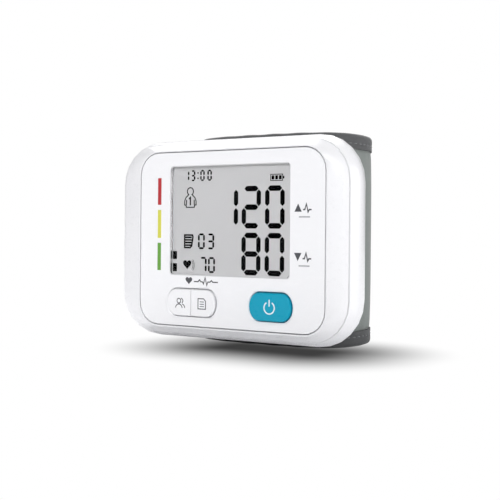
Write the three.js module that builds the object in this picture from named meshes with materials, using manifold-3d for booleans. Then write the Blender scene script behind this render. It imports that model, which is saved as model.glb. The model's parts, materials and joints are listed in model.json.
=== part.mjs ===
// Wrist blood pressure monitor: a slim display unit carried on a padded cuff.
// Lengths are millimetres, angles are degrees and +Z is up. The display faces -Y. While a piece is
// made, its depth is measured back from the front of the display panel, and its height from the
// middle of the panel. The last lines stand the finished object on its cuff.

import * as THREE from 'three';
import { mergeVertices } from 'three/addons/utils/BufferGeometryUtils.js';
import Module from 'manifold-3d';

// Gap between pieces that touch or pass each other, and how far a cut runs past what it cuts
const fit = 0.3;
const overrun = 2;

// Body: outline, bevelled border, parting line and rounded back. The right wing is at its widest
// at a stated depth and draws in behind it, by the tuck over the run.
const cellEndRoom = 17.1;
const leftBorder = 10.85;
const rightBorder = 8.25;
const topBorder = 4.3;
const bodyCornerRadius = 14;
const wall = 1.8;
const bevelDepth = 1.2;
const bevelSideInset = 3.8;
const bevelTopInset = 2.8;
const partingDepth = 2.5;
const partingSideInset = 2;
const partingTopInset = 1.6;
const fullSectionDepth = 8.5;
const rearRound = 7;
const wingWideDepth = 6;
const wingRun = 13;
const wingTuck = 8.5;
const lipLength = 2.5;
const lipThickness = 1.2;

// Display panel, set flush into the front housing, a little to the right of the middle
const panelThickness = 1.2;
const panelCornerRadius = 6.8;
const rimFlat = 0.45;
const ledgeWidth = 1.5;

// Window, display glass behind it and the frame that holds the glass on the board
const windowWidth = 43.2;
const windowSideMargin = 11.45;
const windowTopMargin = 4.1;
const windowCornerRadius = 1;
const lensThickness = 1;
const lensRecess = 0.1;
const glassMargin = 0.7;
const glassThickness = 2;
const holderWall = 0.8;
const holderLedge = 1;
const zebraInset = 1.6;
const zebraHeight = 1.6;

// Circuit board and the parts on it
const boardRoom = 4.5;
const boardThickness = 1.2;
const chipSize = 9;
const chipHeight = 1.4;
const chipX = 4;
const chipZ = -6;
const buzzerRadius = 5;
const buzzerHeight = 1.6;
const buzzerX = -15;
const buzzerZ = -14;
const buzzerHoleRadius = 1;
const sensorSize = 7;
const sensorHeight = 3.4;
const sensorX = -17;
const sensorZ = 9;

// Buttons: a blue pill and a white pill split in two, each over its own switch
const startWidth = 14.3;
const startInset = 17.95;
const pairWidth = 18;
const pairInset = 19.85;
const buttonHeight = 8.2;
const buttonMargin = 0.8;
const buttonEndRun = 3.3;
const legendRoom = 1.4;
const dishWidth = 0.8;
const dishDepth = 0.4;
const buttonProud = 0.4;
const buttonEdge = 0.3;
const buttonFlange = 0.7;
const flangeThickness = 0.8;
const stemRadius = 1.3;
const stemLength = 0.7;
const plungerWidth = 1.6;
const plungerLength = 1.7;
const switchWidth = 4.2;
const switchHeight = 1.5;
const pairSwitchSpread = 4.6;

// Cuff: its line in plan is a rounded oblong, squarer at the front, with layers of a stated thickness
const cuffOverhang = 2.2;
const cuffTuck = 0.6;
const cuffCentreRoom = 9;
const cuffBackReach = 25;
const airRoom = 8.9;
const cuffFrontPower = 3.1;
const cuffBackPower = 2;
const cuffStartAngle = 100;
const cuffEndAngle = 420;
const cuffStep = 8;
const bindingThickness = 0.8;
const bindingHeight = 4.8;
const coverThickness = 0.8;
const curlPlateThickness = 1;
const bladderThickness = 1.4;
const bladderMargin = 6;
const bladderStartAngle = 130;
const bladderEndAngle = 410;
const saddleFit = 0.4;
const footWidth = 8;
const footHeight = 3;
const footSpread = 20;
const footHook = 1.2;
const footHookDepth = 1.2;

// Free end of the cuff, which laps over the loop, and its hook tape
const flapThickness = 2;
const flapMargin = 3.2;
const flapEndAngle = 512;
const flapLapAngle = 452;
const flapCornerRadius = 9;
const flapRootGap = 0.6;
const patchMargin = 5;
const patchStartAngle = 466;
const patchEndAngle = 506;

// Cells in the left wing, one behind the other, with their contacts and cover
const cellRadius = 5.25;
const cellLength = 44.5;
const cellNubRadius = 1.9;
const cellNubHeight = 1;
const cellEdge = 0.5;
const cellSideGap = 2.4;
const cellBackGap = 0.6;
const springHeight = 2.4;
const springWireRadius = 0.3;
const springWideRadius = 3;
const springNarrowRadius = 1.7;
const springTurns = 3;
const contactThickness = 0.4;
const contactInset = 1.65;
const bayWallThickness = 1.2;
const coverFrontInset = 2;
const coverBackInset = 5;
const coverTabLength = 2.2;
const coverTabWidth = 6;
const coverTabThickness = 1;
const gripGrooves = 5;
const gripGrooveWidth = 0.8;
const gripGroovePitch = 1.9;
const gripGrooveDepth = 0.4;
const gripGrooveLength = 9;

// Pump and valve in the right wing, and the air lines
const motorShare = 0.34;
const pumpRise = 5;
const motorBossRadius = 2;
const motorBossHeight = 1;
const pumpDrop = 2.6;
const pumpHeadLength = 12;
const pumpHeadCornerShare = 0.8;
const pumpOutletRise = 6.1;
const valveRadius = 3.6;
const valveLength = 11.5;
const valveOutletRise = 3.3;
const cradleThickness = 1.6;
const valveCradleRise = 6.8;
const teeWidth = 6;
const teeClearance = 5.1;
const teeHeight = 12;
const teeZ = 14;
const teePortSpread = 3.4;
const nippleRadius = 1;
const nippleLength = 2.6;
const tubeRadius = 2;
const tubeBoreRadius = 1.3;
const nozzleReach = 2.2;

// Screws that join the housings from under the cuff, and the posts that hold the board
const screwInset = 2.3;
const bossRadius = 2.1;
const screwShankRadius = 0.8;
const screwHeadRadius = 1.3;
const screwHeadHeight = 1.3;
const screwSeat = 4.9;
const pilotFloor = 1.5;
const screwDriveWidth = 1.5;
const screwDriveSlot = 0.4;
const screwDriveDepth = 0.6;
const postRadius = 1.5;
const postSideInset = 4.4;
const postEndInset = 1.7;

// Facets of round shapes
const cornerSteps = 6;
const roundSteps = 20;
const smallSteps = 12;
const smallRadius = 2.5;
const tubeSteps = 12;
const tubeSides = 8;
const springStepsPerTurn = 8;
const springSides = 5;

// The body follows its cells in height and depth, and the window and its borders in width
const bodyHeight = cellLength + cellEndRoom;
const panelWidth = windowWidth + 2 * windowSideMargin;
const bodyWidth = leftBorder + panelWidth + rightBorder;
const panelOffset = (leftBorder - rightBorder) / 2;
const panelHeight = bodyHeight - 2 * topBorder;
const buttonLift = buttonHeight / 2 + buttonFlange + ledgeWidth + buttonMargin;
const windowBottomMargin = buttonLift + buttonHeight / 2 + buttonFlange + legendRoom
  + holderWall + glassMargin + 2 * fit;
const windowHeight = panelHeight - windowTopMargin - windowBottomMargin;
const windowLift = (windowBottomMargin - windowTopMargin) / 2;
const windowX = panelOffset;
const panelBack = panelThickness + fit;
const glassWidth = windowWidth + 2 * glassMargin;
const glassHeight = windowHeight + 2 * glassMargin;
const glassBack = panelBack + glassThickness;

// Cells in the left wing, with the ends of their bay
const ribFront = partingDepth + lipLength + fit;
const cellFrontDepth = ribFront + cellRadius;
const cellBackDepth = cellFrontDepth + 2 * cellRadius + fit;
const bodyDepth = cellBackDepth + cellRadius + cellBackGap + wall;
const cellX = -(bodyWidth / 2 - wall - cellSideGap - cellRadius);
const bayWallX = cellX + cellRadius + fit;
const cellTop = (cellLength + springHeight + fit) / 2;
const contactZ = cellTop + fit;
const bayEndZ = contactZ + contactThickness + fit;
const coverFrontDepth = partingDepth + lipLength + coverFrontInset;
const coverBackDepth = bodyDepth - coverBackInset;
const coverHeight = 2 * (bayEndZ - 2 * fit);

// Screws beside the display frame, and the board between them
const screwSpread = glassWidth / 2 + fit + holderWall + fit + bossRadius;
const screwZ = panelHeight / 2 - screwInset;
const boardWidth = -2 * (bayWallX + bayWallThickness);
const boardHeight = 2 * (screwZ - bossRadius - fit);
const boardDepth = panelBack + boardRoom;
const boardBack = boardDepth + boardThickness;
const screwTipDepth = panelBack + fit + pilotFloor + fit;
const screwHeadDepth = boardBack + fit + screwSeat;

// Buttons below the window
const startCentreX = panelOffset + panelWidth / 2 - startInset;
const pairCentreX = panelOffset - panelWidth / 2 + pairInset;
const buttonZ = buttonLift - panelHeight / 2;
const flangeBack = panelBack + flangeThickness;
const plungerDepth = flangeBack + stemLength + fit;

// Cuff layers, counted inwards from the face of the bindings
const cuffHeight = bodyHeight + 2 * cuffOverhang;
const halfHeight = cuffHeight / 2;
const cuffHalfWidth = -(cellX + cellRadius - cuffTuck);
const layerStart = -bindingThickness - fit;
const plateStart = layerStart - coverThickness - fit;
const bladderStart = plateStart - curlPlateThickness - fit;
const liningStart = bladderStart - bladderThickness - fit;
const cuffInside = liningStart - coverThickness - fit - bindingThickness;
const flapHeight = cuffHeight - 2 * (bindingHeight + flapMargin);
const patchHeight = flapHeight - 2 * patchMargin;

// The cuff meets the body behind the room that the air parts take
const cavityBackDepth = boardBack + airRoom;
const saddleDepth = cavityBackDepth + wall;
const cuffFrontDepth = saddleDepth + saddleFit;
const cuffCentreDepth = cellBackDepth + cellRadius + cuffCentreRoom;
const cuffFrontReach = cuffCentreDepth - cuffFrontDepth;
const footTip = cavityBackDepth - fit - footHookDepth;
const nozzleTipDepth = cavityBackDepth - nozzleReach;

// Pump and valve side by side with the board, and the air lines
const motorRadius = (bodyWidth / 2 - wall - boardWidth / 2) * motorShare;
const pumpX = boardWidth / 2 + motorRadius;
const pumpBottomZ = bodyCornerRadius - bodyHeight / 2 - pumpDrop;
const valveTopZ = bodyHeight / 2 - bodyCornerRadius + pumpRise;
const valveBottomZ = valveTopZ - valveLength;
const pumpHeadBottomZ = valveBottomZ - fit - pumpHeadLength;
const motorLength = pumpHeadBottomZ - fit - pumpBottomZ;
const pumpOutletZ = pumpHeadBottomZ + pumpOutletRise;
const valveX = panelOffset + screwSpread + bossRadius + fit + valveRadius;
const valveOutletZ = valveBottomZ + valveOutletRise;
const teeFront = boardBack + fit;
const teeBack = teeFront + airRoom - teeClearance;
const lineDepth = teeFront + tubeRadius;

const wasm = await Module();
wasm.setup();

const { degToRad, lerp } = THREE.MathUtils;

// A closed three.js geometry as a solid that can be joined and cut
function solid(geometry) {
  geometry.deleteAttribute('normal');
  geometry.deleteAttribute('uv');
  const merged = mergeVertices(geometry, fit / 1000);
  return new wasm.Manifold(new wasm.Mesh({
    numProp: 3,
    vertProperties: new Float32Array(merged.attributes.position.array),
    triVerts: new Uint32Array(merged.index.array),
  }));
}

// The mesh of a solid, ready to be shown
function geometryOf(body) {
  const mesh = body.getMesh();
  const geometry = new THREE.BufferGeometry();
  geometry.setAttribute('position', new THREE.BufferAttribute(mesh.vertProperties, 3));
  geometry.setIndex(new THREE.BufferAttribute(mesh.triVerts, 1));
  geometry.computeVertexNormals();
  return geometry;
}

function union(...bodies) {
  return bodies.reduce((joined, body) => joined.add(body));
}

function cut(body, ...tools) {
  return tools.reduce((left, tool) => left.subtract(tool), body);
}

// A box between two corners
function block(low, high) {
  const size = high.map((value, axis) => value - low[axis]);
  const geometry = new THREE.BoxGeometry(...size);
  geometry.translate(...high.map((value, axis) => (value + low[axis]) / 2));
  return solid(geometry);
}

// A round rod between two points that lie along one axis
function rod(radius, from, to) {
  const steps = radius < smallRadius ? smallSteps : roundSteps;
  const start = new THREE.Vector3(...from);
  const along = new THREE.Vector3(...to).sub(start);
  const geometry = new THREE.CylinderGeometry(radius, radius, along.length(), steps);
  const turn = new THREE.Quaternion().setFromUnitVectors(
    new THREE.Vector3(0, 1, 0), along.clone().normalize());
  geometry.applyQuaternion(turn);
  geometry.translate(...start.addScaledVector(along, 1 / 2).toArray());
  return solid(geometry);
}

// A rounded oblong in the plane of the panel, from the lower right corner round to the left
function roundedOutline(width, height, radius, centreX = 0, centreZ = 0) {
  const points = [];
  for (let corner = 0; corner < 4; corner += 1) {
    const sideX = corner === 0 || corner === 3 ? 1 : -1;
    const sideZ = corner < 2 ? 1 : -1;
    for (let step = 0; step <= cornerSteps; step += 1) {
      const angle = (corner + step / cornerSteps) * (Math.PI / 2);
      points.push(new THREE.Vector2(
        centreX + sideX * (width / 2 - radius) + radius * Math.cos(angle),
        centreZ + sideZ * (height / 2 - radius) + radius * Math.sin(angle)));
    }
  }
  return points;
}

// A pill with half ellipses for its ends
function pillOutline(width, height, endRun, centreX, centreZ) {
  const points = [];
  for (const side of [1, -1]) {
    for (let step = 0; step <= 2 * cornerSteps; step += 1) {
      const angle = (step / (2 * cornerSteps) - 1 / 2) * Math.PI;
      points.push(new THREE.Vector2(
        centreX + side * (width / 2 - endRun + endRun * Math.cos(angle)),
        centreZ + side * (height / 2) * Math.sin(angle)));
    }
  }
  return points;
}

// A plate with the given outline, seen from the front, between two depths
function plate(points, front, back) {
  const geometry = new THREE.ExtrudeGeometry(
    new THREE.Shape(points), { depth: back - front, bevelEnabled: false });
  geometry.rotateX(Math.PI / 2);
  geometry.translate(0, back, 0);
  return solid(geometry);
}

// A solid through outlines that share one count of points, given with their depths
function loft(sections) {
  const count = sections[0].points.length;
  const positions = [];
  const triangles = [];
  for (const { depth, points } of sections) {
    for (const point of points) {
      positions.push(point.x, depth, point.y);
    }
  }
  for (let ring = 0; ring < sections.length - 1; ring += 1) {
    for (let index = 0; index < count; index += 1) {
      const next = (index + 1) % count;
      const near = ring * count;
      const far = near + count;
      triangles.push(near + index, far + next, near + next);
      triangles.push(near + index, far + index, far + next);
    }
  }
  const last = (sections.length - 1) * count;
  for (const [a, b, c] of THREE.ShapeUtils.triangulateShape(sections[0].points, [])) {
    triangles.push(a, b, c);
  }
  for (const [a, b, c] of THREE.ShapeUtils.triangulateShape(sections.at(-1).points, [])) {
    triangles.push(last + a, last + c, last + b);
  }
  const geometry = new THREE.BufferGeometry();
  geometry.setAttribute('position', new THREE.Float32BufferAttribute(positions, 3));
  geometry.setIndex(triangles);
  return solid(geometry);
}

// Outline of the body where its sides and its top lie inside the full section by the given insets
function bodyOutline(leftInset, topInset, rightInset = leftInset) {
  return roundedOutline(bodyWidth - leftInset - rightInset, bodyHeight - 2 * topInset,
    bodyCornerRadius - (leftInset + topInset) / 2, (leftInset - rightInset) / 2);
}

// How far a side lies inside the full section before the depth where it is widest
function risingShare(depth, widestDepth) {
  return (Math.max(0, widestDepth - depth) / (widestDepth - partingDepth)) ** 2;
}

// How far the right side lies inside the full section, with a wall taken off square to it
function wingInset(depth, inside) {
  const share = Math.max(0, depth - wingWideDepth) / wingRun;
  const slope = 2 * share * wingTuck / wingRun;
  return partingSideInset * risingShare(depth, wingWideDepth) + wingTuck * share ** 2
    + inside * Math.hypot(1, slope);
}

// The rear part of the body as a full solid, or the hollow in it when a wall is taken off inside.
// Its sides swell from the parting line to the full section, the right wing then draws in, and
// the back is rounded.
function rearForm(front, inside) {
  const risingSteps = 4;
  const wingSteps = 4;
  const roundingSteps = 6;
  const roundDepth = bodyDepth - rearRound;
  const sections = [];
  for (let step = 0; step < risingSteps + wingSteps; step += 1) {
    const depth = step < risingSteps
      ? lerp(front, fullSectionDepth, step / risingSteps)
      : lerp(fullSectionDepth, roundDepth, (step - risingSteps) / wingSteps);
    const share = risingShare(depth, fullSectionDepth);
    sections.push({
      depth,
      points: bodyOutline(inside + partingSideInset * share, inside + partingTopInset * share,
        wingInset(depth, inside)),
    });
  }
  const round = rearRound - inside;
  for (let step = 0; step <= roundingSteps; step += 1) {
    const angle = (step / roundingSteps) * (Math.PI / 2);
    const depth = roundDepth + round * Math.sin(angle);
    const drawn = round * (1 - Math.cos(angle));
    sections.push({
      depth,
      points: bodyOutline(inside + drawn, inside + drawn, wingInset(depth, inside) + drawn),
    });
  }
  return loft(sections);
}

// A line round the cuff in plan. Angles run from the right (0) over the back (90) and the left
// (180) to the front (270), and the stand-off is measured outwards from the face of the bindings.
class CuffLine extends THREE.Curve {
  constructor(from, to, standOff) {
    super();
    this.from = from;
    this.to = to;
    this.standOff = standOff;
  }

  getPoint(share, target = new THREE.Vector3()) {
    const degrees = lerp(this.from, this.to, share);
    const angle = degToRad(degrees);
    const across = Math.cos(angle);
    const along = Math.sin(angle);
    const power = along < 0 ? cuffFrontPower : cuffBackPower;
    const reach = along < 0 ? cuffFrontReach : cuffBackReach;
    const shareX = Math.sign(across) * Math.abs(across) ** (2 / power);
    const shareY = Math.sign(along) * Math.abs(along) ** (2 / power);
    const normal = new THREE.Vector2(
      Math.sign(shareX) * Math.abs(shareX) ** (power - 1) / cuffHalfWidth,
      Math.sign(shareY) * Math.abs(shareY) ** (power - 1) / reach).normalize();
    const off = typeof this.standOff === 'function' ? this.standOff(degrees) : this.standOff;
    return target.set(
      cuffHalfWidth * shareX + normal.x * off,
      cuffCentreDepth + reach * shareY + normal.y * off,
      0);
  }
}

// A strip of the cuff between two angles, two stand-offs and two heights
function cuffStrip(from, to, outer, inner, low, high) {
  const steps = Math.round((to - from) / cuffStep);
  const outside = new CuffLine(from, to, outer).getPoints(steps);
  const inside = new CuffLine(from, to, inner).getPoints(steps).reverse();
  const outline = [...outside, ...inside].map((point) => new THREE.Vector2(point.x, point.y));
  const geometry = new THREE.ExtrudeGeometry(
    new THREE.Shape(outline), { depth: high - low, bevelEnabled: false });
  geometry.translate(0, 0, low);
  return solid(geometry);
}

// The whole column inside the cuff line at a stand-off
function cuffColumn(standOff, height) {
  const steps = 360 / cuffStep;
  const points = new CuffLine(0, 360, standOff).getPoints(steps).slice(0, -1);
  const outline = points.map((point) => new THREE.Vector2(point.x, point.y));
  const geometry = new THREE.ExtrudeGeometry(
    new THREE.Shape(outline), { depth: height, bevelEnabled: false });
  geometry.translate(0, 0, -height / 2);
  return solid(geometry);
}

// A round tube or wire along a curve, with a bore if it is given one
function tubeAlong(curve, radius, boreRadius, steps, sides) {
  const section = new THREE.Shape().absarc(0, 0, radius, 0, 2 * Math.PI);
  const outside = new THREE.ExtrudeGeometry(
    new THREE.Shape(section.getSpacedPoints(sides).slice(0, -1)),
    { steps, extrudePath: curve, bevelEnabled: false });
  if (boreRadius === 0) {
    return solid(outside);
  }
  const bore = new THREE.Shape().absarc(0, 0, boreRadius, 0, 2 * Math.PI);
  const shape = new THREE.Shape(section.getSpacedPoints(sides).slice(0, -1));
  shape.holes.push(new THREE.Path(bore.getSpacedPoints(sides).slice(0, -1).reverse()));
  return solid(new THREE.ExtrudeGeometry(shape, { steps, extrudePath: curve, bevelEnabled: false }));
}

// White plastics, clear window, rubber, fabric and metals
function finish(color, roughness, metalness = 0) {
  return new THREE.MeshStandardMaterial({ color, roughness, metalness });
}
const finishes = {
  white: finish('#f4f4f6', 0.35),
  panel: finish('#eef0f4', 0.3),
  clear: new THREE.MeshStandardMaterial({
    color: '#d8d9da', roughness: 0.05, transparent: true, opacity: 0.35 }),
  glass: finish('#c9c9cb', 0.2),
  blue: finish('#20a0c3', 0.35),
  inside: finish('#d9dadc', 0.5),
  rubber: finish('#5a5c60', 0.8),
  silicone: finish('#d5d9da', 0.5),
  board: finish('#1f6b3f', 0.5),
  chip: finish('#17181a', 0.6),
  metal: finish('#b9bcc0', 0.3, 1),
  cell: finish('#2f4a63', 0.4, 0.2),
  fabric: finish('#8a8d8a', 0.95),
  lining: finish('#7c7f7d', 0.95),
  tape: finish('#4c4f4e', 0.95),
  hook: finish('#3a3c3d', 0.95),
};

const pieces = [];
const cornerSigns = [[1, 1], [-1, 1], [-1, -1], [1, -1]];

function addPiece(name, body, material) {
  const mesh = new THREE.Mesh(geometryOf(body), material);
  mesh.name = name;
  pieces.push(mesh);
}

// Front housing: the bevelled frame round the panel, its ledge, its lip and its screw bosses
function frontHousing() {
  const rim = 2 * (fit + rimFlat);
  const rimOutline = roundedOutline(panelWidth + rim, panelHeight + rim,
    panelCornerRadius + fit + rimFlat, panelOffset);
  const form = loft([
    { depth: 0, points: rimOutline },
    { depth: bevelDepth, points: bodyOutline(bevelSideInset, bevelTopInset) },
    { depth: partingDepth, points: bodyOutline(partingSideInset, partingTopInset) },
  ]);
  const lipInset = wall + fit;
  const lip = cut(
    plate(bodyOutline(partingSideInset + lipInset, partingTopInset + lipInset),
      bevelDepth, partingDepth + lipLength),
    plate(bodyOutline(partingSideInset + lipInset + lipThickness,
      partingTopInset + lipInset + lipThickness), 0, partingDepth + lipLength + overrun));
  const recess = plate(roundedOutline(panelWidth + 2 * fit, panelHeight + 2 * fit,
    panelCornerRadius + fit, panelOffset), -overrun, panelBack);
  const opening = plate(roundedOutline(panelWidth - 2 * ledgeWidth, panelHeight - 2 * ledgeWidth,
    panelCornerRadius - ledgeWidth, panelOffset), -overrun, partingDepth + overrun);
  const bosses = [];
  const pilots = [];
  const lipTop = bodyHeight / 2 - partingTopInset - lipInset;
  for (const [x, z] of screwPlaces()) {
    bosses.push(rod(bossRadius, [x, panelBack + fit, z], [x, boardBack, z]));
    bosses.push(block([x - bossRadius, panelBack + fit, z > 0 ? z : -lipTop],
      [x + bossRadius, boardBack, z > 0 ? lipTop : z]));
    pilots.push(rod(screwShankRadius + fit, [x, screwTipDepth - fit, z],
      [x, boardBack + overrun, z]));
  }
  return cut(union(cut(union(form, lip), recess, opening), ...bosses), ...pilots);
}

function screwPlaces() {
  return cornerSigns.map(([right, up]) => [panelOffset + right * screwSpread, up * screwZ]);
}

// The three buttons: which part of which pill they are, and where their switches sit
function buttonPlaces() {
  const pairOutline = (grow) => pillOutline(
    pairWidth + 2 * grow, buttonHeight + 2 * grow, buttonEndRun + grow, pairCentreX, buttonZ);
  const startOutline = (grow) => pillOutline(
    startWidth + 2 * grow, buttonHeight + 2 * grow, buttonEndRun + grow, startCentreX, buttonZ);
  return [
    { name: 'start_stop', outline: startOutline, side: 0, x: startCentreX, material: 'blue' },
    {
      name: 'user', outline: pairOutline, side: -1,
      x: pairCentreX - pairSwitchSpread, material: 'white',
    },
    {
      name: 'memory', outline: pairOutline, side: 1,
      x: pairCentreX + pairSwitchSpread, material: 'white',
    },
  ];
}

// Display panel with its window, its button openings and the shallow dish round each button
function displayPanel() {
  const body = plate(roundedOutline(panelWidth, panelHeight, panelCornerRadius, panelOffset),
    0, panelThickness);
  const window = plate(roundedOutline(windowWidth, windowHeight, windowCornerRadius,
    windowX, windowLift), -overrun, panelThickness + overrun);
  const places = buttonPlaces().filter(({ side }) => side <= 0);
  const openings = places.map(({ outline }) =>
    plate(outline(fit), -overrun, panelThickness + overrun));
  const dishes = places.map(({ outline }) => loft([
    { depth: -overrun, points: outline(fit + dishWidth) },
    { depth: 0, points: outline(fit + dishWidth) },
    { depth: dishDepth, points: outline(fit) },
  ]));
  return cut(body, window, ...openings, ...dishes);
}

// A button cap with a softened edge, a flange behind the panel and a stem over its switch
function buttonCap({ outline, side, x }) {
  const cap = loft([
    { depth: -buttonProud, points: outline(-buttonEdge) },
    { depth: buttonEdge - buttonProud, points: outline(0) },
    { depth: panelBack, points: outline(0) },
  ]);
  const flange = plate(outline(buttonFlange), panelBack, flangeBack);
  let body = union(cap, flange);
  if (side !== 0) {
    const reach = pairWidth + overrun;
    const low = [pairCentreX - (side > 0 ? reach : -fit / 2), -overrun, buttonZ - buttonHeight];
    const high = [pairCentreX + (side > 0 ? fit / 2 : reach), flangeBack + overrun,
      buttonZ + buttonHeight];
    body = cut(body, block(low, high));
  }
  const stem = rod(stemRadius, [x, panelBack, buttonZ], [x, flangeBack + stemLength, buttonZ]);
  return union(body, stem);
}

// The plunger of a switch and its base, with a well that the plunger sinks into
function switchPlunger(x) {
  const half = plungerWidth / 2;
  return block([x - half, plungerDepth, buttonZ - half],
    [x + half, plungerDepth + plungerLength, buttonZ + half]);
}

function switchBase(x) {
  const half = switchWidth / 2;
  const well = plungerWidth / 2 + fit;
  const back = boardDepth - fit;
  return cut(
    block([x - half, back - switchHeight, buttonZ - half], [x + half, back, buttonZ + half]),
    block([x - well, back - switchHeight - overrun, buttonZ - well],
      [x + well, back + overrun, buttonZ + well]));
}

// Frame round the display glass, open at the front, with a ledge behind the glass
function displayHolder() {
  const frame = (grow) => roundedOutline(glassWidth + 2 * grow, glassHeight + 2 * grow,
    windowCornerRadius, windowX, windowLift);
  return cut(
    plate(frame(fit + holderWall), panelBack, boardDepth - fit),
    plate(frame(fit), 0, glassBack + fit),
    plate(frame(-holderLedge), 0, boardDepth + overrun));
}

function zebraStrip() {
  const low = windowLift - glassHeight / 2 + holderLedge + fit;
  const half = windowWidth / 2 - zebraInset;
  return block([windowX - half, glassBack + fit, low],
    [windowX + half, boardDepth - fit, low + zebraHeight]);
}

function pressureSensor() {
  const half = sensorSize / 2;
  const front = boardBack + fit;
  const portStart = [sensorX + half - fit, lineDepth, sensorZ];
  const portEnd = [sensorX + half + nippleLength, lineDepth, sensorZ];
  return union(
    block([sensorX - half, front, sensorZ - half],
      [sensorX + half, front + sensorHeight, sensorZ + half]),
    rod(nippleRadius, portStart, portEnd));
}

function buzzer() {
  const front = boardBack + fit;
  return cut(
    rod(buzzerRadius, [buzzerX, front, buzzerZ], [buzzerX, front + buzzerHeight, buzzerZ]),
    rod(buzzerHoleRadius, [buzzerX, front + buzzerHeight / 2, buzzerZ],
      [buzzerX, front + buzzerHeight + overrun, buzzerZ]));
}

function microcontroller() {
  const half = chipSize / 2;
  return block([chipX - half, boardBack + fit, chipZ - half],
    [chipX + half, boardBack + fit + chipHeight, chipZ + half]);
}

// Rear housing: a shell with a saddle for the cuff, the cell bay, bosses, posts and a pump cradle
function rearHousing() {
  const front = partingDepth + fit;
  const hollow = cut(rearForm(front, wall), cuffColumn(saddleFit + wall, 2 * bodyHeight));
  const mouth = plate(bodyOutline(partingSideInset + wall, partingTopInset + wall),
    0, front + fit);
  const shell = cut(rearForm(front, 0), cuffColumn(saddleFit, 2 * bodyHeight), hollow, mouth);
  const side = bodyWidth / 2;
  const top = bodyHeight / 2;
  const ribDepth = boardBack + fit;
  const ribs = [block([bayWallX, ribDepth, -top], [bayWallX + bayWallThickness, bodyDepth, top])];
  for (const end of [-1, 1]) {
    const low = end > 0 ? bayEndZ : -bayEndZ - bayWallThickness;
    ribs.push(block([-side, ribDepth, low], [bayWallX + fit, bodyDepth, low + bayWallThickness]));
  }
  const cradles = [
    { radius: motorRadius, x: pumpX, depth: lineDepth, low: pumpBottomZ + motorLength / 2 },
    { radius: valveRadius, x: valveX, depth: lineDepth, low: valveBottomZ + valveCradleRise },
  ];
  for (const { radius, x, depth, low } of cradles) {
    ribs.push(cut(
      block([pumpX - motorRadius / 2, ribDepth, low], [side, bodyDepth, low + cradleThickness]),
      rod(radius + fit, [x, depth, low - overrun],
        [x, depth, low + cradleThickness + overrun])));
  }
  for (const [x, z] of screwPlaces()) {
    ribs.push(rod(bossRadius, [x, ribDepth, z], [x, bodyDepth, z]));
  }
  for (const [right, up] of cornerSigns) {
    const x = right * (boardWidth / 2 - postSideInset);
    const z = up * (boardHeight / 2 - postEndInset);
    ribs.push(rod(postRadius, [x, ribDepth, z], [x, bodyDepth, z]));
  }
  const ribRoom = cut(rearForm(front, wall / 2), cuffColumn(saddleFit + wall / 2, 2 * bodyHeight));
  const inside = ribs.map((rib) => rib.intersect(ribRoom));
  const cuts = [coverOpening(fit)];
  for (const [x, z] of screwPlaces()) {
    cuts.push(rod(screwShankRadius + fit, [x, 0, z], [x, bodyDepth, z]));
    cuts.push(rod(screwHeadRadius + fit, [x, screwHeadDepth - fit, z], [x, bodyDepth, z]));
  }
  for (const end of [-1, 1]) {
    cuts.push(cuffFoot(end, fit));
  }
  cuts.push(nozzleHole());
  return cut(union(shell, ...inside), ...cuts);
}

// The opening in the side for the cells, or the cover's outline when it is drawn in
function coverOpening(grow) {
  const half = coverHeight / 2 + grow;
  const side = bodyWidth / 2;
  return block([-side - overrun, coverFrontDepth - grow, -half],
    [-side + bodyCornerRadius / 2, coverBackDepth + grow, half]);
}

// Battery cover: a patch of the side wall with finger grooves and two tabs that guide it
function batteryCover() {
  const patch = cut(rearForm(partingDepth + fit, 0), rearForm(partingDepth, wall))
    .intersect(coverOpening(0));
  const side = -bodyWidth / 2;
  const middle = (coverFrontDepth + coverBackDepth) / 2;
  const parts = [];
  for (const end of [-1, 1]) {
    const tabZ = end * (coverHeight / 2 - coverTabThickness);
    const low = Math.min(tabZ, tabZ - end * coverTabThickness);
    parts.push(block([side + wall / 2, middle - coverTabWidth / 2, low],
      [side + wall + coverTabLength, middle + coverTabWidth / 2, low + coverTabThickness]));
  }
  const grooves = [];
  for (let index = 0; index < gripGrooves; index += 1) {
    const depth = middle + (index - (gripGrooves - 1) / 2) * gripGroovePitch;
    grooves.push(block([side - overrun, depth - gripGrooveWidth / 2, -gripGrooveLength / 2],
      [side + gripGrooveDepth, depth + gripGrooveWidth / 2, gripGrooveLength / 2]));
  }
  return cut(union(patch, ...parts), ...grooves);
}

function housingScrew(x, z) {
  const headBack = screwHeadDepth + screwHeadHeight;
  const body = union(
    rod(screwShankRadius, [x, screwTipDepth, z], [x, screwHeadDepth + fit, z]),
    rod(screwHeadRadius, [x, screwHeadDepth, z], [x, headBack, z]));
  const half = screwDriveWidth / 2;
  const slot = screwDriveSlot / 2;
  const drive = (acrossX, acrossZ) => block(
    [x - acrossX, headBack - screwDriveDepth, z - acrossZ],
    [x + acrossX, headBack + overrun, z + acrossZ]);
  return cut(body, drive(half, slot), drive(slot, half));
}

// One cell with its nub at the given end, turned on its own axis
function cell(depth, end) {
  const bottom = end > 0 ? cellTop - cellLength : -cellTop;
  const profile = [
    [0, 0], [cellRadius - cellEdge, 0], [cellRadius, cellEdge],
    [cellRadius, cellLength - cellNubHeight - cellEdge],
    [cellRadius - cellEdge, cellLength - cellNubHeight],
    [cellNubRadius, cellLength - cellNubHeight], [cellNubRadius, cellLength],
    [0, cellLength],
  ].map(([radius, along]) => new THREE.Vector2(radius, end > 0 ? along : cellLength - along));
  const geometry = new THREE.LatheGeometry(end > 0 ? profile : profile.reverse(), roundSteps);
  geometry.rotateX(Math.PI / 2);
  geometry.translate(cellX, depth, bottom);
  return solid(geometry);
}

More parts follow.
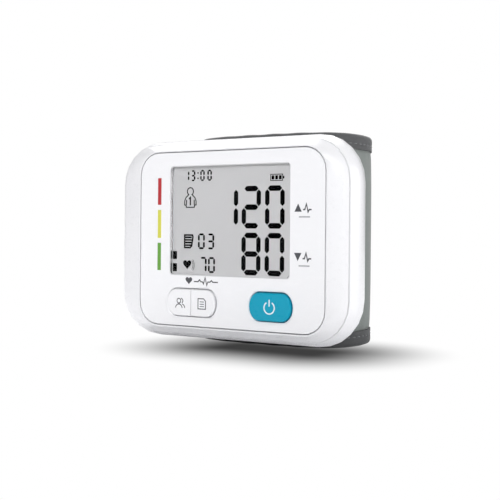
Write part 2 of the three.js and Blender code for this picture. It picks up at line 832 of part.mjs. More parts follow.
// A wire spring that narrows from its contact plate towards the flat end of a cell
class SpringLine extends THREE.Curve {
  constructor(depth, plateZ, cellZ) {
    super();
    this.depth = depth;
    this.plateZ = plateZ;
    this.cellZ = cellZ;
  }

  getPoint(share, target = new THREE.Vector3()) {
    const angle = share * springTurns * 2 * Math.PI;
    const radius = lerp(springWideRadius, springNarrowRadius, share);
    return target.set(
      cellX + radius * Math.cos(angle),
      this.depth + radius * Math.sin(angle),
      lerp(this.plateZ, this.cellZ, share));
  }
}

function cellSpring(depth, end) {
  const plateZ = -end * (contactZ - fit - springWireRadius);
  const cellZ = -end * (cellTop - springHeight + springWireRadius);
  return tubeAlong(new SpringLine(depth, plateZ, cellZ), springWireRadius, 0,
    springTurns * springStepsPerTurn, springSides);
}

// A contact plate at one end of the bay, over one cell or across both
function contactPlate(firstDepth, lastDepth, end) {
  const half = cellRadius - contactInset;
  const low = end > 0 ? contactZ : -contactZ - contactThickness;
  return block([cellX - half, firstDepth - half, low],
    [cellX + half, lastDepth + half, low + contactThickness]);
}

function pumpMotor() {
  return union(
    rod(motorRadius, [pumpX, lineDepth, pumpBottomZ + motorBossHeight],
      [pumpX, lineDepth, pumpBottomZ + motorLength]),
    rod(motorBossRadius, [pumpX, lineDepth, pumpBottomZ],
      [pumpX, lineDepth, pumpBottomZ + motorBossHeight + fit]));
}

function pumpHead() {
  const points = roundedOutline(2 * motorRadius, 2 * motorRadius,
    motorRadius * pumpHeadCornerShare, pumpX, lineDepth)
    .map((point) => new THREE.Vector2(point.x, point.y));
  const geometry = new THREE.ExtrudeGeometry(
    new THREE.Shape(points), { depth: pumpHeadLength, bevelEnabled: false });
  geometry.translate(0, 0, pumpHeadBottomZ);
  const face = pumpX - motorRadius;
  return union(solid(geometry), rod(nippleRadius, [face + fit, lineDepth, pumpOutletZ],
    [face - nippleLength, lineDepth, pumpOutletZ]));
}

function exhaustValve() {
  const face = valveX - valveRadius;
  return union(
    rod(valveRadius, [valveX, lineDepth, valveBottomZ],
      [valveX, lineDepth, valveBottomZ + valveLength]),
    rod(nippleRadius, [face + valveRadius / 2, lineDepth, valveOutletZ],
      [face - nippleLength, lineDepth, valveOutletZ]));
}

// The block that joins the air lines, with two ports to the right, one left and one to the cuff
function airTee() {
  const half = teeWidth / 2;
  const core = block([-half, teeFront, teeZ - teeHeight / 2], [half, teeBack, teeZ + teeHeight / 2]);
  const ports = [-1, 1].map((up) => rod(nippleRadius,
    [0, lineDepth, teeZ + up * teePortSpread],
    [half + nippleLength, lineDepth, teeZ + up * teePortSpread]));
  ports.push(rod(nippleRadius, [0, lineDepth, teeZ], [-half - nippleLength, lineDepth, teeZ]));
  ports.push(rod(nippleRadius, [0, lineDepth, teeZ], [0, teeBack + nippleLength / 2, teeZ]));
  return union(core, ...ports);
}

// A soft air line pushed over one nipple along X at each end, with an easy bend between them
function airLine(from, to) {
  const start = new THREE.Vector3(...from);
  const end = new THREE.Vector3(...to);
  const grip = new THREE.Vector3(Math.sign(end.x - start.x) * (nippleLength + fit), 0, 0);
  const leave = start.clone().add(grip);
  const arrive = end.clone().sub(grip);
  const lead = new THREE.Vector3((arrive.x - leave.x) / 2, 0, 0);
  const curve = new THREE.CurvePath();
  curve.add(new THREE.LineCurve3(start, leave));
  curve.add(new THREE.CubicBezierCurve3(
    leave, leave.clone().add(lead), arrive.clone().sub(lead), arrive));
  curve.add(new THREE.LineCurve3(arrive, end));
  return tubeAlong(curve, tubeRadius, tubeBoreRadius, tubeSteps, tubeSides);
}

// Cuff layers between the bindings
function cuffLayer(standOff, thickness, margin, from = cuffStartAngle, to = cuffEndAngle) {
  const half = halfHeight - bindingThickness - fit - margin;
  return cuffStrip(from, to, standOff, standOff - thickness, -half, half);
}

// A snap foot of the cuff, which passes through the cover and the saddle, or the slot for it
function cuffFoot(end, grow) {
  const z = end * footSpread;
  return block(
    [-footWidth / 2 - grow, footTip, z - footHeight / 2 - grow],
    [footWidth / 2 + grow, cuffFrontDepth - plateStart + curlPlateThickness / 2,
      z + footHeight / 2 + grow]);
}

// The catch at the end of a foot, behind the wall of the saddle
function footCatch(end) {
  const edge = end * (footSpread + footHeight / 2);
  const tip = edge + end * footHook;
  return block([-footWidth / 2, footTip, Math.min(edge, tip) - fit],
    [footWidth / 2, footTip + footHookDepth, Math.max(edge, tip) + fit]);
}

function nozzleHole() {
  return rod(nippleRadius + fit, [0, cavityBackDepth - overrun, teeZ],
    [0, cuffFrontDepth - bladderStart, teeZ]);
}

function cuffOuterCover() {
  return cut(cuffLayer(layerStart, coverThickness, 0),
    cuffFoot(1, fit), cuffFoot(-1, fit), nozzleHole());
}

function cuffCurlPlate() {
  const feet = [1, -1].flatMap((end) => [cuffFoot(end, 0), footCatch(end)]);
  return cut(union(cuffLayer(plateStart, curlPlateThickness, fit), ...feet), nozzleHole());
}

function cuffAirBladder() {
  const face = cuffFrontDepth - bladderStart;
  return union(
    cuffLayer(bladderStart, bladderThickness, bladderMargin, bladderStartAngle, bladderEndAngle),
    rod(nippleRadius, [0, nozzleTipDepth, teeZ], [0, face + bladderThickness / 2, teeZ]));
}

// An edge tape folded over the layers of the cuff, at its upper or its lower edge
function cuffBinding(end) {
  const edge = end * halfHeight;
  const hem = edge - end * bindingHeight;
  const web = edge - end * bindingThickness;
  const groove = hem - end * overrun;
  return cut(
    cuffStrip(cuffStartAngle, cuffEndAngle, 0, cuffInside, Math.min(edge, hem),
      Math.max(edge, hem)),
    cuffStrip(cuffStartAngle - cuffStep, cuffEndAngle + cuffStep, -bindingThickness,
      cuffInside + bindingThickness, Math.min(web, groove), Math.max(web, groove)));
}

// How far the outer face of the flap stands off the bindings: flush at its root, then over the loop
function flapOuter(degrees) {
  const rise = THREE.MathUtils.smoothstep(degrees, cuffEndAngle, flapLapAngle);
  return (flapThickness + fit) * rise;
}

// The free end of the cuff, from its root across the back and over the left side of the loop
function cuffFlap() {
  const half = flapHeight / 2;
  const root = cuffEndAngle + flapRootGap;
  const body = cuffStrip(root, flapEndAngle, flapOuter,
    (degrees) => flapOuter(degrees) - flapThickness, -half, half);
  const tip = new CuffLine(root, flapEndAngle, 0).getPoint(1);
  const outline = roundedOutline(
    2 * (cuffHalfWidth - tip.x), flapHeight, flapCornerRadius, cuffHalfWidth + overrun);
  return body.intersect(plate(outline, 0, 2 * cuffBackReach + cuffFrontDepth + cuffHeight));
}

// Hook tape under the tip of the flap, in the channel between the two bindings
function hookPatch() {
  const half = patchHeight / 2;
  return cuffStrip(patchStartAngle, patchEndAngle, 0, layerStart + fit, -half, half);
}

function displayLens() {
  return plate(roundedOutline(windowWidth - 2 * fit, windowHeight - 2 * fit, windowCornerRadius,
    windowX, windowLift), lensRecess, lensRecess + lensThickness);
}

function lcdGlass() {
  return plate(roundedOutline(glassWidth, glassHeight, windowCornerRadius, windowX, windowLift),
    panelBack, glassBack);
}

function circuitBoard() {
  return block([-boardWidth / 2, boardDepth, -boardHeight / 2],
    [boardWidth / 2, boardBack, boardHeight / 2]);
}

addPiece('front_housing', frontHousing(), finishes.white);
addPiece('display_panel', displayPanel(), finishes.panel);
addPiece('display_lens', displayLens(), finishes.clear);
addPiece('lcd_glass', lcdGlass(), finishes.glass);
addPiece('lcd_holder', displayHolder(), finishes.inside);
addPiece('zebra_strip', zebraStrip(), finishes.rubber);
addPiece('circuit_board', circuitBoard(), finishes.board);
addPiece('microcontroller', microcontroller(), finishes.chip);
addPiece('buzzer', buzzer(), finishes.chip);
addPiece('pressure_sensor', pressureSensor(), finishes.chip);
for (const place of buttonPlaces()) {
  addPiece(`${place.name}_button`, buttonCap(place), finishes[place.material]);
  addPiece(`${place.name}_plunger`, switchPlunger(place.x), finishes.chip);
  addPiece(`${place.name}_switch`, switchBase(place.x), finishes.metal);
}
addPiece('rear_housing', rearHousing(), finishes.white);
addPiece('battery_cover', batteryCover(), finishes.white);
screwPlaces().forEach(([x, z], index) => {
  addPiece(`housing_screw_${index + 1}`, housingScrew(x, z), finishes.metal);
});
[[cellFrontDepth, 1], [cellBackDepth, -1]].forEach(([depth, end], index) => {
  addPiece(`battery_cell_${index + 1}`, cell(depth, end), finishes.cell);
  addPiece(`battery_spring_${index + 1}`, cellSpring(depth, end), finishes.metal);
  addPiece(`battery_plate_${index + 1}`, contactPlate(depth, depth, 1), finishes.metal);
});
addPiece('battery_bridge', contactPlate(cellFrontDepth, cellBackDepth, -1), finishes.metal);
addPiece('pump_motor', pumpMotor(), finishes.metal);
addPiece('pump_head', pumpHead(), finishes.inside);
addPiece('exhaust_valve', exhaustValve(), finishes.metal);
addPiece('air_tee', airTee(), finishes.inside);
const teeRight = teeWidth / 2 + fit;
addPiece('pump_tube', airLine([teeRight, lineDepth, teeZ - teePortSpread],
  [pumpX - motorRadius - fit, lineDepth, pumpOutletZ]), finishes.silicone);
addPiece('valve_tube', airLine([teeRight, lineDepth, teeZ + teePortSpread],
  [valveX - valveRadius - fit, lineDepth, valveOutletZ]), finishes.silicone);
addPiece('sensor_tube', airLine([-teeRight, lineDepth, teeZ],
  [sensorX + sensorSize / 2 + fit, lineDepth, sensorZ]), finishes.silicone);
addPiece('cuff_tube', cut(
  rod(tubeRadius, [0, teeBack + fit, teeZ], [0, cavityBackDepth - fit, teeZ]),
  rod(tubeBoreRadius, [0, teeBack, teeZ], [0, cavityBackDepth, teeZ])), finishes.silicone);
addPiece('cuff_outer_cover', cuffOuterCover(), finishes.fabric);
addPiece('cuff_curl_plate', cuffCurlPlate(), finishes.inside);
addPiece('cuff_air_bladder', cuffAirBladder(), finishes.rubber);
addPiece('cuff_inner_cover', cuffLayer(liningStart, coverThickness, 0), finishes.lining);
addPiece('cuff_top_binding', cuffBinding(1), finishes.tape);
addPiece('cuff_bottom_binding', cuffBinding(-1), finishes.tape);
addPiece('cuff_flap', cuffFlap(), finishes.fabric);
addPiece('hook_patch', hookPatch(), finishes.hook);

const monitor = new THREE.Group();
monitor.add(...pieces);
const bounds = new THREE.Box3().setFromObject(monitor);
monitor.position.set(
  -(bounds.min.x + bounds.max.x) / 2, -(bounds.min.y + bounds.max.y) / 2, -bounds.min.z);

export default monitor;
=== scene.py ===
"""Wrist blood pressure monitor: finishes, printed marks, display figures and the sewn cuff.

Sizes are millimetres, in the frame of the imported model. They become metres where a mesh is made.
"""

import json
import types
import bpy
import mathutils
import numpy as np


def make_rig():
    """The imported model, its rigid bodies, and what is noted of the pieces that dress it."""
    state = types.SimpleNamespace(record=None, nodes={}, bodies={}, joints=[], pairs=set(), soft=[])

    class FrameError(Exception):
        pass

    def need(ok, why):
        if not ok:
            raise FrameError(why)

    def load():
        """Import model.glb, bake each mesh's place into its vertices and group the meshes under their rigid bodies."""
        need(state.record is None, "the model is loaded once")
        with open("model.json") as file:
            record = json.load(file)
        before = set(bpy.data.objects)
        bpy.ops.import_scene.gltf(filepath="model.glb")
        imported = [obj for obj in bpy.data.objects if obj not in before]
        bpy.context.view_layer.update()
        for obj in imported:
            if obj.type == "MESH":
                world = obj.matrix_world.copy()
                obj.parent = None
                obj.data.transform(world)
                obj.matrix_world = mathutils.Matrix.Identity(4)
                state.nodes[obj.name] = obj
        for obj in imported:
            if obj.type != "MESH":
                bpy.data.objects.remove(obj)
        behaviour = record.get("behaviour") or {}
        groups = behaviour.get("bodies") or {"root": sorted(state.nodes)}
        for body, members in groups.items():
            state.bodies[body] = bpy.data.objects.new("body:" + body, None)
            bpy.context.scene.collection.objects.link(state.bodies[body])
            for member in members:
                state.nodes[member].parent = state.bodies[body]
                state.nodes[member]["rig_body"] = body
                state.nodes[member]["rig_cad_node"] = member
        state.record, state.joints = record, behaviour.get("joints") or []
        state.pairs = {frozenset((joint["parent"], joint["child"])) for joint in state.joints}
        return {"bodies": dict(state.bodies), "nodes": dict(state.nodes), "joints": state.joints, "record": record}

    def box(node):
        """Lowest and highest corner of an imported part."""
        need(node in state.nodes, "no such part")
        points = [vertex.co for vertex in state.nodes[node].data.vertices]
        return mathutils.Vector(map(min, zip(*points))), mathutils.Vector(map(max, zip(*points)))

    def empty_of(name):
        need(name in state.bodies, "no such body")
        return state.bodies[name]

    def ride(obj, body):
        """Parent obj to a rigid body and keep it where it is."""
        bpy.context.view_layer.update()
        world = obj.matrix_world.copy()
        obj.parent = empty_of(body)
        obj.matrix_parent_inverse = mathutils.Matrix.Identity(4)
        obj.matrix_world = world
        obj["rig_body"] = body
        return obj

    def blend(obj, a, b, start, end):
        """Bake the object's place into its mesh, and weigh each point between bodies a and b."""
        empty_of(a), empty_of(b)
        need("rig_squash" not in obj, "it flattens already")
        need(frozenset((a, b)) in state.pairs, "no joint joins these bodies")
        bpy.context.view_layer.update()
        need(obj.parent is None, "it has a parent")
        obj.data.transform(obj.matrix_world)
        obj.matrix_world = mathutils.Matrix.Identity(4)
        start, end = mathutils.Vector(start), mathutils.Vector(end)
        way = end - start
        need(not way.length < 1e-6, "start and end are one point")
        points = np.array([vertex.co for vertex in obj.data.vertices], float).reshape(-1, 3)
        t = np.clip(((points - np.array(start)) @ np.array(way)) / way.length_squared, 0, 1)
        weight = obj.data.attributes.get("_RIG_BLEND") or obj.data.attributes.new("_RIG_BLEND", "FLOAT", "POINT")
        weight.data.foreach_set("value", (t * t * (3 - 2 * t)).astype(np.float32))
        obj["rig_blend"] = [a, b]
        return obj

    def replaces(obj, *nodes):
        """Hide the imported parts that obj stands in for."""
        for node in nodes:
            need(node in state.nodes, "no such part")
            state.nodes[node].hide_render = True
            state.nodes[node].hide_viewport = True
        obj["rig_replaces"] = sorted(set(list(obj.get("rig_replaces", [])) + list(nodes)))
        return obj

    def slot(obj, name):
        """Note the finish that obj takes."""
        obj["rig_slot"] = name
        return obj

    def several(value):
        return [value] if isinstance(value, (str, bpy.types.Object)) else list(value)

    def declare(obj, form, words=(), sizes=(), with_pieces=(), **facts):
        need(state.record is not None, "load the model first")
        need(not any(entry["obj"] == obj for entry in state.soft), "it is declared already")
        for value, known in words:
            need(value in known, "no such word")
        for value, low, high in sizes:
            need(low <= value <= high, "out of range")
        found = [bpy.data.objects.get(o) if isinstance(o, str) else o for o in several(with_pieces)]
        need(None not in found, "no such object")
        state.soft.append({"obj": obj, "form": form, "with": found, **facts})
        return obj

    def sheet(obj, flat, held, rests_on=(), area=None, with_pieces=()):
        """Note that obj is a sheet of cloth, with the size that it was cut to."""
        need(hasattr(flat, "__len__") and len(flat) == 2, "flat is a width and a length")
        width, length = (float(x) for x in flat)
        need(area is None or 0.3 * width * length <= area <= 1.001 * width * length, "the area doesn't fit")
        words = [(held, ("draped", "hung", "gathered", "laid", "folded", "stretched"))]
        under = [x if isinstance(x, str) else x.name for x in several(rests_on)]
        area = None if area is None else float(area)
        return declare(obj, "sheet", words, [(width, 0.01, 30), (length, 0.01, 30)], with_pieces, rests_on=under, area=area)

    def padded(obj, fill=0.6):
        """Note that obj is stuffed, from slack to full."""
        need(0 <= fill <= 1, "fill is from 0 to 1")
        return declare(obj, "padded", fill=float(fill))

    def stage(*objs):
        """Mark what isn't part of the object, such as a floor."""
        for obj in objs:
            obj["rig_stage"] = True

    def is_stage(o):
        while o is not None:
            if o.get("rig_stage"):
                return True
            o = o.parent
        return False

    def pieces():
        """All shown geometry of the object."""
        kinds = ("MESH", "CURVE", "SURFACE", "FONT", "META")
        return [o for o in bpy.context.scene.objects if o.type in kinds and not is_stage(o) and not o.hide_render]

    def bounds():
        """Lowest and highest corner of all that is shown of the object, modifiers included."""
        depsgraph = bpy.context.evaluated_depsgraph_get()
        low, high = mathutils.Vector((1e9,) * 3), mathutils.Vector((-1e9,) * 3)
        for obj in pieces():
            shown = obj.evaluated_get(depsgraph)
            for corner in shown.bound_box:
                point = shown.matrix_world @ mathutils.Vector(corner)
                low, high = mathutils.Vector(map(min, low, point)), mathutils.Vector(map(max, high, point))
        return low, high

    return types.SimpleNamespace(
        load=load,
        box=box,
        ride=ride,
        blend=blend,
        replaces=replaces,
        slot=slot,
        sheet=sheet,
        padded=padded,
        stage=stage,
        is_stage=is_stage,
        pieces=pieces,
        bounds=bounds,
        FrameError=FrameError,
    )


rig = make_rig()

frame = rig.load()

import json
import logging
import math
from dataclasses import dataclass, field
from enum import Enum

import bmesh
import bpy
import numpy as np
from bpy.types import ID, Material, Mesh, Node, NodeSocket, Object
from mathutils import Matrix, Vector

MM = 0.001
CUFF_HEIGHT = 66.0
MIDDLE_Z = CUFF_HEIGHT / 2
log = logging.getLogger("monitor")


class Body(str, Enum):
    """The bodies that the pieces ride on."""

    MONITOR = "monitor"
    START_STOP = "start_stop"
    USER_KEY = "user_key"
    MEMORY_KEY = "memory_key"
    BATTERY_DOOR = "battery_door"
    FLAP = "flap"


def linear(hex_colour: str) -> tuple[float, float, float, float]:
    """Turns an sRGB colour such as 'F2F3F5' to linear values with an alpha of one.

    Args:
        hex_colour: six hexadecimal digits.

    Returns:
        Red, green, blue and alpha.
    """
    shares = [int(hex_colour[i:i + 2], 16) / 255 for i in (0, 2, 4)]
    values = [s / 12.92 if s <= 0.04045 else ((s + 0.055) / 1.055) ** 2.4 for s in shares]
    return (*values, 1.0)


def add_node(material: ID, kind: str, settings: dict | None = None,
             inputs: dict | None = None) -> Node:
    """Adds one node to a material's or world's tree.

    Args:
        material: the material or world.
        kind: the node's type without 'ShaderNode'.
        settings: the node's own options.
        inputs: for each input, by name or number, its constant, the output that feeds it, or a
            node, whose first output in use feeds it.

    Returns:
        The node.
    """
    tree = material.node_tree
    node = tree.nodes.new("ShaderNode" + kind)
    for name, value in (settings or {}).items():
        setattr(node, name, value)
    for name, value in (inputs or {}).items():
        if isinstance(value, Node):
            value = next(output for output in value.outputs if output.enabled)
        if isinstance(value, NodeSocket):
            tree.links.new(value, node.inputs[name])
        else:
            node.inputs[name].default_value = value
    return node


def new_material(name: str, attribute: str = "") -> tuple[Material, NodeSocket]:
    """Makes a node material.

    Args:
        name: the real finish's name.
        attribute: the piece's attribute that holds a place, or nothing for the object's frame.

    Returns:
        The material, and the output that gives the place.
    """
    material = bpy.data.materials.new(name)
    material.use_nodes = True
    material.node_tree.nodes.clear()
    if attribute:
        source = add_node(material, "Attribute", {"attribute_name": attribute})
        return material, source.outputs["Vector"]
    return material, add_node(material, "TexCoord").outputs["Object"]


def finish_with(material: Material, shader: Node) -> Material:
    """Links a shader to the material's output and gives the material back."""
    add_node(material, "OutputMaterial", inputs={"Surface": shader})
    return material


@dataclass(frozen=True)
class Finish:
    """A finish's name, and the two near colours that its pattern mixes."""

    name: str
    colour: str
    shade: str

    def dress(self, material: Material, share: Node, inputs: dict) -> Material:
        """Mixes the two colours, shades the surface with them and links it to the output.

        Args:
            material: the material.
            share: the pattern, which is 1 where the second colour shows.
            inputs: the surface's other inputs.

        Returns:
            The material.
        """
        colour = add_node(material, "Mix", {"data_type": "RGBA"}, {
            0: share, 6: linear(self.colour), 7: linear(self.shade)})
        return finish_with(material, add_node(material, "BsdfPrincipled", inputs={
            "Base Color": colour, **inputs}))


@dataclass(frozen=True)
class MouldedPlastic(Finish):
    """Injection-moulded plastic: ABS, acrylic or the like.

    The mould's spark-eroded grain gives a fine bump and breaks the gloss, slow waves in the
    roughness are flow marks, and handling leaves faint fine scuffs. The real grain is near
    0.05 mm. It is drawn at 0.22 mm, to show at all.
    """

    roughness: float = 0.34
    index: float = 1.54
    grain: float = 0.22
    grain_height: float = 0.0006
    flow: float = 14.0
    scuff: float = 0.03
    scuff_size: float = 5.0

    def build(self) -> Material:
        """Mixes two near colours by a slow noise, and adds grain to roughness and height.

        Returns:
            The material.
        """
        material, place = new_material(self.name)
        flow = add_node(material, "TexNoise", inputs={
            "Vector": place, "Scale": 1 / (self.flow * MM), "Detail": 2.0, "Roughness": 0.5})
        grain = add_node(material, "TexNoise", inputs={
            "Vector": place, "Scale": 1 / (self.grain * MM), "Detail": 3.0, "Roughness": 0.65})
        stretch = add_node(material, "Mapping", inputs={
            "Vector": place, "Rotation": (0.4, 0.7, 0.9), "Scale": (1.0, 9.0, 3.0)})
        scuffs = add_node(material, "TexNoise", inputs={
            "Vector": stretch, "Scale": 1 / (self.scuff_size * MM), "Detail": 6.0,
            "Roughness": 0.8})
        scuffed = add_node(material, "MapRange", inputs={
            "Value": scuffs, "From Min": 0.35, "From Max": 0.75,
            "To Min": self.roughness - self.scuff, "To Max": self.roughness + self.scuff})
        rough = add_node(material, "MapRange", inputs={
            "Value": grain, "From Min": 0.3, "From Max": 0.7, "To Min": -0.03, "To Max": 0.03})
        total = add_node(material, "Math", {"operation": "ADD", "use_clamp": True}, {
            0: scuffed, 1: rough})
        bump = add_node(material, "Bump", inputs={
            "Height": grain, "Distance": self.grain_height * MM, "Strength": 1.0})
        return self.dress(material, flow, {
            "Roughness": total, "Normal": bump, "IOR": self.index})


@dataclass(frozen=True)
class PrintedInk(Finish):
    """Pad-printed ink: a thin even film, a little duller than what carries it, with soft mottle."""

    roughness: float = 0.42
    gloss: float = 0.5
    mottle: float = 0.6

    def build(self) -> Material:
        """Mottles the ink by a fine noise.

        Returns:
            The material.
        """
        material, place = new_material(self.name)
        mottle = add_node(material, "TexNoise", inputs={
            "Vector": place, "Scale": 1 / (self.mottle * MM), "Detail": 3.0})
        return self.dress(material, mottle, {
            "Roughness": self.roughness, "IOR": 1.5, "Specular IOR Level": self.gloss})


@dataclass(frozen=True)
class ClearAcrylic(Finish):
    """Polished acrylic window: clear, with a coat, its shade, that leaves only a faint gloss."""

    index: float = 1.49
    haze: float = 0.02
    dust: float = 9.0

    def build(self) -> Material:
        """Lets nearly all light through and reflects by angle, as a coated window does.

        Returns:
            The material.
        """
        material, place = new_material(self.name)
        dust = add_node(material, "TexNoise", inputs={
            "Vector": place, "Scale": 1 / (self.dust * MM), "Detail": 8.0, "Roughness": 0.75})
        rough = add_node(material, "MapRange", inputs={
            "Value": dust, "From Min": 0.4, "From Max": 0.8, "To Min": 0.0, "To Max": self.haze})
        return finish_with(material, add_node(material, "BsdfPrincipled", inputs={
            "Base Color": linear(self.colour), "Roughness": rough, "IOR": self.index,
            "Transmission Weight": 1.0, "Specular Tint": linear(self.shade)}))


@dataclass(frozen=True)
class DisplayFilm(Finish):
    """Reflective liquid crystal glass: grey polariser film over a brushed silver backing.

    The real brushing is near 0.1 mm. It is drawn at 0.35 mm, to show at all.
    """

    brush: float = 0.35
    clouds: float = 30.0

    def build(self) -> Material:
        """Draws a very fine level brushing and a slow, cloudy change of grey.

        Returns:
            The material.
        """
        material, place = new_material(self.name)
        along = add_node(material, "Mapping", inputs={"Vector": place, "Scale": (0.05, 1.0, 1.0)})
        brush = add_node(material, "TexNoise", inputs={
            "Vector": along, "Scale": 1 / (self.brush * MM), "Detail": 4.0})
        slow = add_node(material, "TexNoise", inputs={
            "Vector": place, "Scale": 1 / (self.clouds * MM), "Detail": 1.0})
        both = add_node(material, "Mix", inputs={0: 0.5, 2: brush, 3: slow})
        return self.dress(material, both, {"Roughness": 0.32, "IOR": 1.5})


@dataclass(frozen=True)
class PlainMetal(Finish):
    """Nickel-plated spring steel or screws: bright, finely drawn, with soft dark stains."""

    roughness: float = 0.28
    stain: float = 1.5

    def build(self) -> Material:
        """Varies colour and roughness by one noise.

        Returns:
            The material.
        """
        material, place = new_material(self.name)
        stain = add_node(material, "TexNoise", inputs={
            "Vector": place, "Scale": 1 / (self.stain * MM), "Detail": 5.0, "Roughness": 0.7})
        rough = add_node(material, "MapRange", inputs={
            "Value": stain, "To Min": self.roughness - 0.1, "To Max": self.roughness + 0.15})
        return self.dress(material, stain, {"Roughness": rough, "Metallic": 1.0})


@dataclass(frozen=True)
class WovenCloth(Finish):
    """Polyester cloth, tape or thread: crossing threads, heathered yarn and a soft sheen.

    The first colour lies in the valleys and the second on the threads: the darker valleys are painted shade between
    the threads, mixed with the yarn's own heathered tone. The pattern follows the piece's own attribute 'cloth',
    millimetres along and across it. The threads of the real cloth are near 0.3 mm. They are drawn up to 0.9 mm, to
    show at all.
    """

    along: float
    across: float
    height: float = 0.05
    sheen: float = 0.25
    heather: float = 0.5
    fading: float = 18.0

    def build(self) -> Material:
        """Raises a sine of the length times a sine of the width, and darkens its valleys with painted shade.

        Returns:
            The material.
        """
        material, cloth = new_material(self.name, "cloth")
        parts = add_node(material, "SeparateXYZ", inputs={0: cloth})
        waves = []
        for axis, spacing in enumerate((self.along, self.across)):
            turn = add_node(material, "Math", {"operation": "MULTIPLY"}, {
                0: parts.outputs[axis], 1: math.tau / spacing})
            waves.append(add_node(material, "Math", {"operation": "SINE"}, {0: turn}))
        crossing = add_node(material, "Math", {"operation": "MULTIPLY"}, dict(enumerate(waves)))
        raised = add_node(material, "MapRange", inputs={
            "Value": crossing, "From Min": -1.0, "From Max": 1.0})
        yarn_way = add_node(material, "Mapping", inputs={
            "Vector": cloth, "Scale": (1.0, 0.25, 1.0)})
        yarn = add_node(material, "TexNoise", inputs={
            "Vector": yarn_way, "Scale": 1 / (self.along + self.across), "Detail": 6.0,
            "Roughness": 0.7})
        fade = add_node(material, "TexNoise", inputs={
            "Vector": cloth, "Scale": 1 / self.fading, "Detail": 2.0})
        mottle = add_node(material, "Mix", inputs={0: 0.35, 2: yarn, 3: fade})
        # Colour: painted shade in the valleys between the threads, mixed with the heathered yarn's own tone.
        valley_shade_and_heather = add_node(material, "Mix", inputs={0: self.heather, 2: raised, 3: mottle})
        fibre = add_node(material, "Mix", inputs={0: 0.3, 2: raised, 3: yarn})
        bump = add_node(material, "Bump", inputs={
            "Height": fibre, "Distance": self.height * MM, "Strength": 1.0})
        return self.dress(material, valley_shade_and_heather, {
            "Roughness": 0.85, "Normal": bump, "Sheen Weight": self.sheen,
            "Sheen Roughness": 0.4, "Specular IOR Level": 0.25})


@dataclass(frozen=True)
class CircuitBoardFinish(Finish):
    """Green solder mask on glass epoxy, with lighter copper tracks under it."""

    pitch: float = 2.4

    def build(self) -> Material:
        """Shows tracks where a blocky cell pattern passes a threshold.

        Returns:
            The material.
        """
        material, place = new_material(self.name)
        cells = add_node(material, "TexVoronoi", {
            "feature": "DISTANCE_TO_EDGE", "distance": "EUCLIDEAN"}, {
            "Vector": place, "Scale": 1 / (self.pitch * MM), "Randomness": 0.35})
        track = add_node(material, "MapRange", inputs={
            "Value": cells, "From Min": 0.06, "From Max": 0.09})
        bump = add_node(material, "Bump", {"invert": True}, {
            "Height": track, "Distance": 0.04 * MM, "Strength": 1.0})
        return self.dress(material, track, {"Roughness": 0.3, "Normal": bump})


@dataclass(frozen=True)
class CellJacket(Finish):
    """Shrink-wrapped steel jacket of a cell: printed foil, a copper band at its plus end."""

    band_from: float = 44.0
    brush: float = 3.0

    def build(self) -> Material:
        """Changes the print where the height passes the band, over a fine brushed metal.

        Returns:
            The material.
        """
        material, place = new_material(self.name)
        parts = add_node(material, "SeparateXYZ", inputs={0: place})
        band = add_node(material, "Math", {"operation": "GREATER_THAN"}, {
            0: parts.outputs[2], 1: self.band_from * MM})
        round_way = add_node(material, "Mapping", inputs={
            "Vector": place, "Scale": (1.0, 1.0, 12.0)})
        brush = add_node(material, "TexNoise", inputs={
            "Vector": round_way, "Scale": 1 / (self.brush * MM), "Detail": 5.0})
        rough = add_node(material, "MapRange", inputs={
            "Value": brush, "To Min": 0.2, "To Max": 0.42})
        return self.dress(material, band, {"Roughness": rough, "Metallic": 0.6})


FINISHES = {
    "shell": MouldedPlastic("satin_white_abs", "F1F1F3", "ECECEF", 0.3),
    "panel": MouldedPlastic("smooth_white_panel", "F8F8FA", "F5F5F8", 0.26,
                            grain_height=0.0003, scuff=0.02),
    "window": ClearAcrylic("polished_acrylic_window", "FFFFFF", "3C3C3C"),
    "film": DisplayFilm("grey_display_glass", "DADADC", "D4D4D6"),
    "blue": MouldedPlastic("satin_blue_abs", "04A2C1", "049FBE", 0.3, 1.36),
    "inner": MouldedPlastic("natural_nylon", "D9D8D2", "CFCEC6", 0.5),
    "black": MouldedPlastic("black_moulding", "26272A", "1E1F22", 0.45),
    "rubber": MouldedPlastic("conductive_rubber", "3A3A3C", "2E2E30", 0.75),
    "silicone": MouldedPlastic("silicone_tubing", "C9CCC8", "BFC2BE", 0.4),
    "foam": PrintedInk("grey_foam_strip", "D4D4D6", "CECED0", 0.9, gloss=0.1),
    "board": CircuitBoardFinish("solder_masked_board", "5E9A5A", "1F5A35"),
    "steel": PlainMetal("nickel_plated_steel", "C8C8CA", "A9A9AD"),
    "cell": CellJacket("printed_foil_jacket", "2E3238", "B98554"),
    "cloth": WovenCloth("heathered_cuff_cloth", "717674", "8F9592", 0.7, 0.7),
    "lining": WovenCloth("brushed_lining", "57595C", "6F7274", 0.9, 0.9, sheen=0.5, heather=0.8),
    "tape": WovenCloth("ribbed_edge_tape", "494A4C", "5F6061", 0.85, 0.35, 0.07),
    "thread": WovenCloth("twisted_thread", "656668", "838485", 0.45, 0.6, sheen=0.4, heather=0.2),
    "hooks": WovenCloth("hook_tape_weave", "46484B", "5B5D60", 0.6, 0.6, sheen=0.1),
    "ink_grey": PrintedInk("grey_ink", "47474C", "525257"),
    "ink_pale": PrintedInk("pale_grey_ink", "9A9A9F", "A3A3A8"),
    "ink_white": PrintedInk("white_ink", "E9F4F8", "DDECF1"),
    "ink_red": PrintedInk("red_ink", "BC3238", "B62D34"),
    "ink_yellow": PrintedInk("yellow_ink", "DAD85C", "D3D154"),
    "ink_green": PrintedInk("green_ink", "6CA544", "659E3E"),
    "crystal": PrintedInk("dark_liquid_crystal", "020203", "050506", 0.5, gloss=0.0),
}
